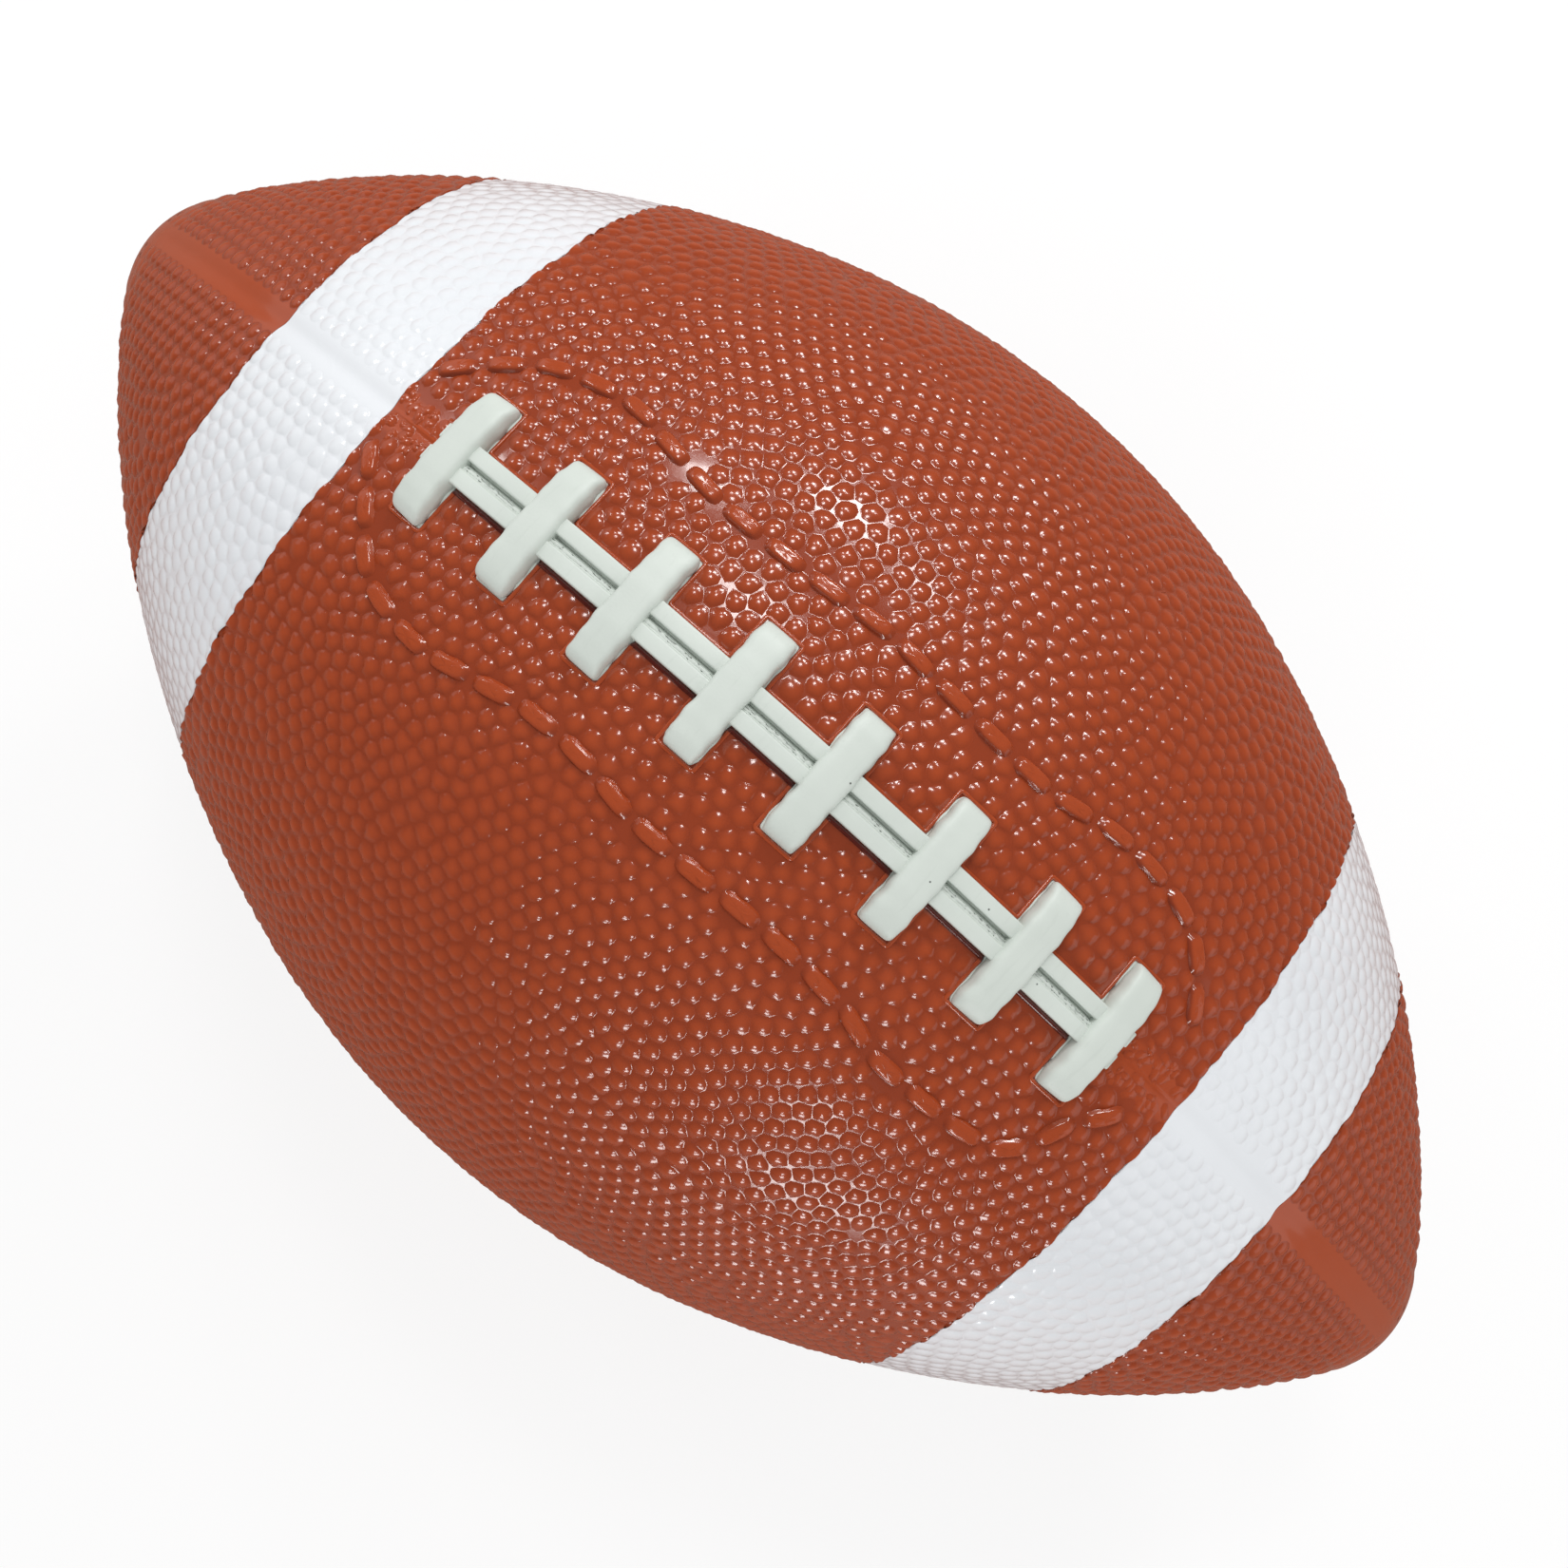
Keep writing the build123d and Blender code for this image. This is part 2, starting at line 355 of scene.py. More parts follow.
@dataclass
class BallSkin:
    """Skin of the ball, a surface of revolution about X.

    In side view the skin is a belly arc, a flank arc and a nose arc, each tangent to the next. A point has a
    run, its distance along the skin from mid length, an angle about X from the lace towards the left, and a
    height off the skin. The nose arc is sharper than that of the solids, whose tips end 2 mm sooner.
    """

    length: float = 289.0
    diameter: float = 167.4
    belly_radius: float = 151.5
    belly_half_length: float = 48.4
    nose_radius: float = 20.0

    def __post_init__(self) -> None:
        """Works out the three arcs from the driving sizes, as tangent circles."""
        belly_lean = asin(self.belly_half_length / self.belly_radius)
        belly_out = self.diameter / 2 - self.belly_radius
        nose_along = self.length / 2 - self.nose_radius
        start_out = belly_out + self.belly_radius * cos(belly_lean)
        reach = (self.belly_half_length - nose_along, start_out)
        rise = reach[0] * sin(belly_lean) + reach[1] * cos(belly_lean)
        flank_radius = (hypot(*reach) ** 2 - self.nose_radius**2) / (2 * (rise - self.nose_radius))
        flank_along = self.belly_half_length - flank_radius * sin(belly_lean)
        flank_out = start_out - flank_radius * cos(belly_lean)
        flank_lean = atan2(nose_along - flank_along, -flank_out)
        self.radii = np.array((self.belly_radius, flank_radius, self.nose_radius))
        self.centres_along = np.array((0, flank_along, nose_along))
        self.centres_out = np.array((belly_out, flank_out, 0))
        self.leans = np.array((0, belly_lean, flank_lean, QUARTER))
        self.runs = np.concatenate(((0,), np.cumsum(self.radii * np.diff(self.leans))))
        self.half_run = float(self.runs[-1])

    def lean(self, run: Number) -> np.ndarray:
        """Angle between the skin's normal and upright, which grows evenly with the run along each arc."""
        return np.interp(np.abs(run), self.runs, self.leans)

    def girth(self, run: Number) -> np.ndarray:
        """Distance of the skin from the long axis at a run."""
        tilt = self.lean(run)
        arc = np.digitize(tilt, self.leans[1:-1])
        return self.centres_out[arc] + self.radii[arc] * np.cos(tilt)

    def seam_gap(self, run: np.ndarray, local: np.ndarray) -> np.ndarray:
        """Distance from the nearer seam of a quarter, at angles from its first seam."""
        return self.girth(run) * np.minimum(local, QUARTER - local)

    def off_tips(self, run: np.ndarray, start: float, full: float) -> np.ndarray:
        """Eases from 0 at one distance along the skin from a tip to 1 at another."""
        return smoothstep(self.half_run - np.abs(run), start, full)

    def point(self, run: Number, angle: Number, height: Number) -> np.ndarray:
        """Points at a height off the skin: the arc's centre plus its radius and height along the normal.

        Args:
            run: Distances along the skin from mid length.
            angle: Angles about X from the lace towards the left.
            height: Heights off the skin.

        Returns:
            Points in millimetres, with the coordinates last.
        """
        run, angle, height = np.broadcast_arrays(run, angle, height)
        tilt = self.lean(run)
        arc = np.digitize(tilt, self.leans[1:-1])
        reach = self.radii[arc] + height
        along = np.copysign(self.centres_along[arc] + reach * np.sin(tilt), run)
        out = self.centres_out[arc] + reach * np.cos(tilt)
        return np.stack((along, out * np.sin(angle), out * np.cos(angle)), axis=-1)

    def directions(self, run: np.ndarray, angle: np.ndarray) -> tuple[np.ndarray, np.ndarray]:
        """Unit directions along the skin.

        Args:
            run: Distances along the skin from mid length.
            angle: Angles about X.

        Returns:
            The direction of growing run and the direction of growing angle, with the coordinates last.
        """
        tilt = np.copysign(self.lean(run), run)
        fall = -np.sin(tilt)
        along = np.stack((np.cos(tilt), fall * np.sin(angle), fall * np.cos(angle)), axis=-1)
        around = np.stack((np.zeros_like(angle), np.cos(angle), -np.sin(angle)), axis=-1)
        return along, around

    def normal(self, run: np.ndarray, angle: np.ndarray) -> np.ndarray:
        """Unit directions straight out of the skin, with the coordinates last."""
        tilt = np.copysign(self.lean(run), run)
        return np.stack((np.sin(tilt), np.cos(tilt) * np.sin(angle), np.cos(tilt) * np.cos(angle)), axis=-1)


class Signal:
    """A number in a material's node tree, whose arithmetic adds Math nodes."""

    def __init__(self, board: "NodeBoard", socket: bpy.types.NodeSocket) -> None:
        """Wraps an output socket of the board."""
        self.board = board
        self.socket = socket

    def math(self, operation: str, *others: Union["Signal", float]) -> "Signal":
        """Adds a Math node with this number first and the others after it."""
        return self.board.math(operation, self, *others)

    def __add__(self, other: Union["Signal", float]) -> "Signal":
        """Sum."""
        return self.math("ADD", other)

    __radd__ = __add__

    def __sub__(self, other: Union["Signal", float]) -> "Signal":
        """Difference."""
        return self.math("SUBTRACT", other)

    def __rsub__(self, other: float) -> "Signal":
        """Difference from a plain number."""
        return self.board.math("SUBTRACT", other, self)

    def __mul__(self, other: Union["Signal", float]) -> "Signal":
        """Product."""
        return self.math("MULTIPLY", other)

    __rmul__ = __mul__

    def __lt__(self, other: Union["Signal", float]) -> "Signal":
        """1 where this is less than the other, and 0 elsewhere."""
        return self.math("LESS_THAN", other)

    def __gt__(self, other: Union["Signal", float]) -> "Signal":
        """1 where this is greater than the other, and 0 elsewhere."""
        return self.math("GREATER_THAN", other)

    def eased(self, start: float, end: float) -> "Signal":
        """Eases from 0 at start to 1 at end."""
        settings = {"interpolation_type": "SMOOTHSTEP"}
        sockets = {"Value": self, "From Min": start, "From Max": end}
        return self.board.signal("ShaderNodeMapRange", settings, sockets)


class NodeBoard:
    """Node tree of one material, or of the surroundings."""

    def __init__(self, owner: Union[bpy.types.Material, bpy.types.World]) -> None:
        """Starts an empty tree in its owner."""
        owner.use_nodes = True
        self.owner = owner
        self.tree = owner.node_tree
        self.tree.nodes.clear()

    @classmethod
    def for_material(cls, name: str) -> "NodeBoard":
        """Starts a new material of this name."""
        return cls(bpy.data.materials.new(name))

    def node(self, kind: str, settings: dict[str, Any], sockets: dict[Any, Any]) -> bpy.types.Node:
        """Adds any node.

        Args:
            kind: Type name of the node.
            settings: The node's own properties, set first.
            sockets: Values or links of its inputs, by name or number.

        Returns:
            The new node.
        """
        made = self.tree.nodes.new(kind)
        for name, value in settings.items():
            setattr(made, name, value)
        for key, value in sockets.items():
            value = value.socket if isinstance(value, Signal) else value
            if isinstance(value, bpy.types.NodeSocket):
                self.tree.links.new(value, made.inputs[key])
            else:
                made.inputs[key].default_value = value
        return made

    def signal(self, kind: str, settings: dict[str, Any], sockets: dict[Any, Any]) -> Signal:
        """Adds a node and gives its first output as a number."""
        return Signal(self, self.node(kind, settings, sockets).outputs[0])

    def math(self, operation: str, *terms: Union[Signal, float]) -> Signal:
        """Adds a Math node on numbers in order."""
        return self.signal("ShaderNodeMath", {"operation": operation}, dict(enumerate(terms)))

    def coordinates(self) -> bpy.types.NodeSocket:
        """Object coordinates, in metres."""
        return self.node("ShaderNodeTexCoord", {}, {}).outputs["Object"]

    def attribute(self, name: str) -> Signal:
        """Number that the mesh holds under this name, or 0 where it holds none."""
        return Signal(self, self.node("ShaderNodeAttribute", {"attribute_name": name}, {}).outputs["Fac"])

    def noise(self, place: bpy.types.NodeSocket, grain: float, detail: float) -> Signal:
        """Soft noise from 0 to 1, with grains about this many millimetres across."""
        sockets = {"Vector": place, "Scale": 1 / (grain * MM), "Detail": detail}
        return self.signal("ShaderNodeTexNoise", {}, sockets)

    def specks(self, place: bpy.types.NodeSocket, spacing: float, size: float, share: float) -> Signal:
        """Small round specks: 1 near some of the points of a cell pattern.

        Args:
            place: Coordinates of the pattern.
            spacing: Width of a cell in millimetres.
            size: Radius of a speck in millimetres.
            share: Part of the cells that have a speck.

        Returns:
            1 in a speck and 0 elsewhere, with a soft edge.
        """
        cells = self.node("ShaderNodeTexVoronoi", {}, {"Vector": place, "Scale": 1 / (spacing * MM)})
        reach = size / spacing
        near = 1 - Signal(self, cells.outputs["Distance"]).eased(SPECK_CORE_SHARE * reach, reach)
        parts = self.node("ShaderNodeSeparateColor", {}, {"Color": cells.outputs["Color"]})
        return near * (Signal(self, parts.outputs["Red"]) < share)

    def blend(self, factor: Union[Signal, float], first: Any, second: Any) -> bpy.types.NodeSocket:
        """Mixes two colours.

        Args:
            factor: 0 for the first colour and 1 for the second.
            first: Colour or colour socket.
            second: Colour or colour socket.

        Returns:
            The mixed colour's socket.
        """
        ends = [(*end, 1) if isinstance(end, tuple) else end for end in (first, second)]
        sockets = {"Factor": factor, **dict(zip(MIX_COLOURS, ends))}
        return self.node("ShaderNodeMix", {"data_type": "RGBA"}, sockets).outputs[MIX_RESULT]

    def bump(self, height: Signal, depth: float, strength: float) -> bpy.types.NodeSocket:
        """Normal of a fine relief this many millimetres deep."""
        sockets = {"Strength": strength, "Distance": depth * MM, "Height": height}
        return self.node("ShaderNodeBump", {}, sockets).outputs[0]

    def finish(self, sockets: dict[str, Any]) -> bpy.types.Material:
        """Ends the tree with one Principled shader.

        Args:
            sockets: Values or links of the shader's inputs.

        Returns:
            The finished material.
        """
        shader = self.node("ShaderNodeBsdfPrincipled", {}, sockets)
        self.node("ShaderNodeOutputMaterial", {}, {"Surface": shader.outputs[0]})
        return self.owner


@dataclass(frozen=True)
class CoverRubber:
    """Glossy moulded rubber of the panels, with a cloudy tone, a few dark specks and a fine skin.

    Painted shade darkens the colour: a painted shadow in the narrow gap along the lace's right-hand rail, and
    painted shade in the grooves round the stitches and between the pebbles.
    """

    lace: "Lace"
    slot: str = "cover_rubber"
    deep: Colour = (0.392, 0.0605, 0.0151)
    light: Colour = (0.4346, 0.0717, 0.0196)
    speck: Colour = (0.05, 0.016, 0.01)
    # Tone of the painted shade, and place and width of the painted shadow beside the lace's right-hand rail
    painted_shade_tone: Colour = (0.12, 0.016, 0.01)
    painted_shadow_offset: float = 0.45
    painted_shadow_core: float = 0.3
    painted_shadow_half_width: float = 0.52
    cloud_grain: float = 46.0
    mottle_grain: float = 5.0
    mottle_share: float = 0.35
    speck_spacing: float = 30.0
    speck_radius: float = 0.42
    speck_share: float = 0.35
    smoothest: float = 0.14
    roughness_spread: float = 0.1
    skin_grain: float = 0.9
    skin_depth: float = 0.05
    skin_strength: float = 0.22
    sheen_level: float = 0.6
    gloss: float = 0.6
    gloss_roughness: float = 0.07
    detail: float = 4.0

    def gap(self, board: NodeBoard, place: bpy.types.NodeSocket) -> Signal:
        """Marks the painted shadow in the gap beside the lace's right-hand rail, from its first bar to its
        last.

        Args:
            board: Board of the material.
            place: Object coordinates.

        Returns:
            1 in the painted shadow and 0 elsewhere, with soft edges.
        """
        parts = board.node("ShaderNodeSeparateXYZ", {}, {"Vector": place})
        along, across, up = (Signal(board, parts.outputs[name]) for name in "XYZ")
        off_seam = self.lace.strip_width / 2 + self.painted_shadow_offset
        reach = self.lace.bar_pitch * (self.lace.bar_count - 1) / 2
        off_line = (across + off_seam * MM).math("ABSOLUTE")
        off_middle = (along - self.lace.offset * MM).math("ABSOLUTE")
        beside = 1 - off_line.eased(self.painted_shadow_core * MM, self.painted_shadow_half_width * MM)
        return beside * (off_middle < reach * MM) * (up > 0)

    def dress(self) -> bpy.types.Material:
        """Makes the material."""
        board = NodeBoard.for_material(self.slot)
        place = board.coordinates()
        cloud = board.noise(place, self.cloud_grain, self.detail)
        mottle = board.noise(place, self.mottle_grain, self.detail)
        tone = cloud * (1 - self.mottle_share) + mottle * self.mottle_share
        colour = board.blend(tone, self.deep, self.light)
        specks = board.specks(place, self.speck_spacing, self.speck_radius, self.speck_share)
        speckled = board.blend(specks, colour, self.speck)
        # Painted shade: the painted shadow along the rail and the painted shade held by the points, which
        # darken the colour
        painted_shade = self.gap(board, place).math("MAXIMUM", board.attribute(PAINTED_SHADE))
        skin = board.noise(place, self.skin_grain, self.detail)
        return board.finish({
            "Base Color": board.blend(painted_shade, speckled, self.painted_shade_tone),
            "Roughness": self.smoothest + mottle * self.roughness_spread,
            "Specular IOR Level": self.sheen_level,
            "Coat Weight": self.gloss,
            "Coat Roughness": self.gloss_roughness,
            "Normal": board.bump(skin, self.skin_depth, self.skin_strength),
        })


@dataclass(frozen=True)
class StripeRubber:
    """Glossy white rubber of the stripes, a little cloudy, with faint handling marks."""

    slot: str = "stripe_rubber"
    deep: Colour = (0.8, 0.82, 0.85)
    light: Colour = (0.88, 0.905, 0.935)
    mark: Colour = (0.5, 0.5, 0.48)
    cloud_grain: float = 22.0
    mark_spacing: float = 24.0
    mark_radius: float = 0.28
    mark_share: float = 0.3
    smoothest: float = 0.16
    roughness_spread: float = 0.12
    skin_grain: float = 0.9
    skin_depth: float = 0.05
    skin_strength: float = 0.3
    gloss: float = 0.7
    gloss_roughness: float = 0.08
    detail: float = 4.0

    def dress(self) -> bpy.types.Material:
        """Makes the material."""
        board = NodeBoard.for_material(self.slot)
        place = board.coordinates()
        cloud = board.noise(place, self.cloud_grain, self.detail)
        marks = board.specks(place, self.mark_spacing, self.mark_radius, self.mark_share)
        skin = board.noise(place, self.skin_grain, self.detail)
        return board.finish({
            "Base Color": board.blend(marks, board.blend(cloud, self.deep, self.light), self.mark),
            "Roughness": self.smoothest + cloud * self.roughness_spread,
            "Coat Weight": self.gloss,
            "Coat Roughness": self.gloss_roughness,
            "Normal": board.bump(skin, self.skin_depth, self.skin_strength),
        })


@dataclass(frozen=True)
class LaceRubber:
    """Pale satin rubber of the lace, with tiny dark pits and fine scratches along the bars."""

    slot: str = "lace_rubber"
    deep: Colour = (0.595, 0.645, 0.595)
    light: Colour = (0.715, 0.77, 0.715)
    pit: Colour = (0.1, 0.11, 0.1)
    cloud_grain: float = 9.0
    pit_spacing: float = 4.2
    pit_radius: float = 0.19
    pit_share: float = 0.28
    scratch_grain: float = 0.9
    scratch_stretch: float = 0.09
    scratch_start: float = 0.58
    scratch_full: float = 0.7
    scratch_shade: float = 0.35
    smoothest: float = 0.36
    roughness_spread: float = 0.16
    skin_grain: float = 0.5
    skin_depth: float = 0.06
    skin_strength: float = 0.4
    detail: float = 5.0

    def dress(self) -> bpy.types.Material:
        """Makes the material."""
        board = NodeBoard.for_material(self.slot)
        place = board.coordinates()
        along = board.node(
            "ShaderNodeMapping", {}, {"Vector": place, "Scale": (1, self.scratch_stretch, 1)}
        ).outputs[0]
        cloud = board.noise(place, self.cloud_grain, self.detail)
        scratch = board.noise(along, self.scratch_grain, self.detail)
        scratches = scratch.eased(self.scratch_start, self.scratch_full) * self.scratch_shade
        pits = board.specks(place, self.pit_spacing, self.pit_radius, self.pit_share)
        skin = board.noise(place, self.skin_grain, self.detail)
        tone = board.blend(scratches, board.blend(cloud, self.deep, self.light), self.deep)
        return board.finish({
            "Base Color": board.blend(pits, tone, self.pit),
            "Roughness": self.smoothest + cloud * self.roughness_spread,
            "Normal": board.bump(skin - scratches - pits, self.skin_depth, self.skin_strength),
        })


@dataclass(frozen=True)
class PlainRubber:
    """Matt rubber of a hidden piece, with a talc bloom."""

    slot: str
    deep: Colour
    bloom: Colour
    grain: float = 6.0
    bloom_share: float = 0.4
    roughness: float = 0.55
    roughness_spread: float = 0.2
    skin_grain: float = 0.6
    skin_depth: float = 0.05
    skin_strength: float = 0.3
    detail: float = 4.0

    def dress(self) -> bpy.types.Material:
        """Makes the material."""
        board = NodeBoard.for_material(self.slot)
        place = board.coordinates()
        cloud = board.noise(place, self.grain, self.detail)
        skin = board.noise(place, self.skin_grain, self.detail)
        return board.finish({
            "Base Color": board.blend(cloud * self.bloom_share, self.deep, self.bloom),
            "Roughness": self.roughness + cloud * self.roughness_spread,
            "Normal": board.bump(skin, self.skin_depth, self.skin_strength),
        })


@dataclass(frozen=True)
class WoundNylon:
    """Nylon thread wound round the bladder in two crossing directions, set in latex."""

    slot: str = "winding_nylon"
    thread: Colour = (0.72, 0.69, 0.6)
    latex: Colour = (0.42, 0.37, 0.27)
    thread_pitch: float = 1.4
    crossing: float = radians(38)
    wander: float = 6.0
    roughness: float = 0.6
    relief: float = 0.3
    strength: float = 0.6

    def dress(self) -> bpy.types.Material:
        """Makes the material."""
        board = NodeBoard.for_material(self.slot)
        place = board.coordinates()
        layers = []
        for turn in (self.crossing, -self.crossing):
            turned = board.node("ShaderNodeMapping", {}, {"Vector": place, "Rotation": (0, 0, turn)})
            scale = 1 / (self.thread_pitch * MM * TURN)
            sockets = {"Vector": turned.outputs[0], "Scale": scale, "Distortion": self.wander}
            layers.append(board.signal("ShaderNodeTexWave", {}, sockets))
        threads = layers[0].math("MAXIMUM", layers[1])
        return board.finish({
            "Base Color": board.blend(threads, self.latex, self.thread),
            "Roughness": self.roughness,
            "Normal": board.bump(threads, self.relief, self.strength),
        })


@dataclass
class Lace:
    """Moulded lace: arched crossbars over a strip of two rails, with thin flash where the mould parted."""

    skin: BallSkin
    offset: float = -2.0
    bar_count: int = 8
    bar_pitch: float = 17.7
    bar_width: float = 5.8
    bar_length: float = 21.8
    bar_height: float = 3.3
    strip_width: float = 6.4
    strip_height: float = 2.0
    strip_overhang: float = 0.6
    groove_width: float = 1.5
    groove_depth: float = 0.55
    ledge_roughness: float = 0.05
    ledge_seed: int = 5
    slot_width: float = 0.6
    slot_depth: float = 1.5
    rail_rounding: float = 0.32
    foot: float = -0.45
    section_power: float = 5.2
    end_power: float = 3.4
    plan_power: float = 11.0
    flash_reach: float = 0.2
    flash_spread: float = 0.11
    flash_height: float = 0.1
    wobble: float = 0.07
    top_waves: tuple[float, float] = (3.1, 6.7)
    edge_waves: tuple[float, float] = (4.3, 9.1)
    bar_seed: int = 3
    flash_seed: int = 7
    bar_steps: int = 72
    section_steps: int = 36
    strip_step: float = 0.5
    rounding_steps: int = 4

    @property
    def bar_places(self) -> np.ndarray:
        """Runs of the crossbars."""
        return self.offset + self.bar_pitch * (np.arange(self.bar_count) - (self.bar_count - 1) / 2)

    @property
    def reach(self) -> tuple[float, float]:
        """Runs of the two ends of the strip."""
        spare = self.bar_width / 2 + self.strip_overhang
        return self.bar_places[0] - spare, self.bar_places[-1] + spare

    def outline(self, side: int, clearance: float) -> np.ndarray:
        """Corners of the lace's edge on one side of the seam, from its rear end to its front end.

        Args:
            side: 1 for the left of the seam and -1 for the right.
            clearance: Distance outside the lace.

        Returns:
            Rows of run and distance from the seam.
        """
        half_bar = self.bar_width / 2 + clearance
        half_length = self.bar_length / 2 + clearance
        half_strip = self.strip_width / 2 + clearance
        along = np.array((-half_bar, -half_bar, half_bar, half_bar))
        across = np.array((half_strip, half_length, half_length, half_strip))
        runs = (self.bar_places[:, None] + along).ravel()
        chain = np.stack((runs, np.tile(across, self.bar_count)), axis=1)
        ends = [[[self.reach[0] - clearance, a] for a in (0, half_strip)],
                [[self.reach[1] + clearance, a] for a in (half_strip, 0)]]
        return np.concatenate((ends[0], chain, ends[1])) * (1, side)

    def gap(self, run: np.ndarray, across: np.ndarray) -> np.ndarray:
        """Distance from points to the lace's edge, less than 0 under the lace.

        The lace seen from above is a union of rectangles, and the distance to a rectangle is that of its
        corner offsets, outside and inside.

        Args:
            run: Runs of the points.
            across: Distances from the seam.

        Returns:
            The distances.
        """
        middles = np.append(self.bar_places, np.mean(self.reach))
        half_along = np.append(np.full(self.bar_count, self.bar_width / 2), np.ptp(self.reach) / 2)
        half_across = np.append(np.full(self.bar_count, self.bar_length / 2), self.strip_width / 2)
        over = np.stack((np.abs(run[:, None] - middles) - half_along,
                         np.abs(across)[:, None] - half_across), axis=-1)
        outside = np.linalg.norm(np.maximum(over, 0), axis=-1)
        return np.min(outside + np.minimum(over.max(axis=-1), 0), axis=1)

    def bars(self, growth: float, height: float, ragged: float, seed: int) -> Form:
        """All crossbars: superellipse sections along arcs over the ball, drawn in at both ends.

        With t the share of the half length, the height falls as (1 - t^p)^(1/p) and the width as
        (1 - t^q)^(1/q), so that the ends curve down to the skin and their corners are round.

        Args:
            growth: How far the plan reaches past the bars.
            height: Height of the tops off the skin.
            ragged: How much the plan's edge wanders.
            seed: Start of the random wander.

        Returns:
            The bars.
        """
        random = np.random.default_rng(seed)
        swing = np.linspace(-QUARTER, QUARTER, self.bar_steps)
        share = power_sin(swing, self.end_power)
        rise = np.abs(power_cos(swing, self.end_power))
        width = (1 - np.abs(share) ** self.plan_power) ** (1 / self.plan_power)
        turn = np.linspace(pi, 0, self.section_steps)
        forms = []
        for run in self.bar_places:
            top_phases, edge_phases = random.uniform(0, TURN, (2, len(self.top_waves), 1))
            waves = np.sin(top_phases + np.array(self.top_waves)[:, None] * share * pi).sum(axis=0)
            side_waves = np.sin(edge_phases + np.array(self.edge_waves)[:, None] * share * pi).sum(axis=0)
            half_width = (self.bar_width / 2 + growth + ragged * waves) * width
            along = run + half_width[:, None] * power_cos(turn, self.section_power)
            across = (self.bar_length / 2 + growth + ragged * side_waves) * share
            top = (height - self.foot) * rise * (1 + self.wobble * ragged * waves)
            up = self.foot + top[:, None] * power_sin(turn, self.section_power)
            angle = across / self.skin.girth(run)
            forms.append(tube_form(self.skin.point(along, -angle[:, None], up), False))
        return Form.joined(forms)

    def strip(self) -> Form:
        """Strip of two rails: a rounded section with a stepped groove, carried along the skin.

        The ledge beside the slot is rough.

        Returns:
            The strip with its two flat ends.
        """
        half = self.strip_width / 2
        groove = self.groove_width / 2
        step = groove - self.slot_width
        top = self.strip_height
        ledge = top - self.groove_depth
        slot = top - self.slot_depth
        middle = (step - groove) / 2
        corners = np.array([
            (0, self.foot), (-half, self.foot), (-half, top), (-groove, top), (-groove, ledge),
            (middle, ledge), (step, ledge), (step, slot), (groove, slot), (groove, top), (half, top),
            (half, self.foot), (0, self.foot),
        ])
        section = rounded_path(corners, self.rail_rounding, self.rounding_steps)[:-1]
        first, last = self.reach
        runs = np.linspace(first, last, int((last - first) / self.strip_step))[:, None]
        angle = section[:, 0] / self.skin.girth(runs)
        on_ledge = np.isclose(section[:, 1], ledge) & (np.abs(section[:, 0] - middle) < self.slot_width / 2)
        bumps = np.random.default_rng(self.ledge_seed).normal(size=(len(runs), len(section))) * on_ledge
        return tube_form(self.skin.point(runs, angle, section[:, 1] + self.ledge_roughness * bumps), False)

    def build(self, finish: LaceRubber) -> bpy.types.Object:
        """Builds and dresses the lace.

        Args:
            finish: Its rubber.

        Returns:
            The lace's object.
        """
        parts = [
            self.strip(),
            self.bars(0, self.bar_height, self.wobble, self.bar_seed),
            self.bars(self.flash_reach, self.flash_height, self.flash_spread, self.flash_seed),
        ]
        piece = Form.joined(parts).to_object("football_lace", finish.dress())
        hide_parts("lace")
        return piece


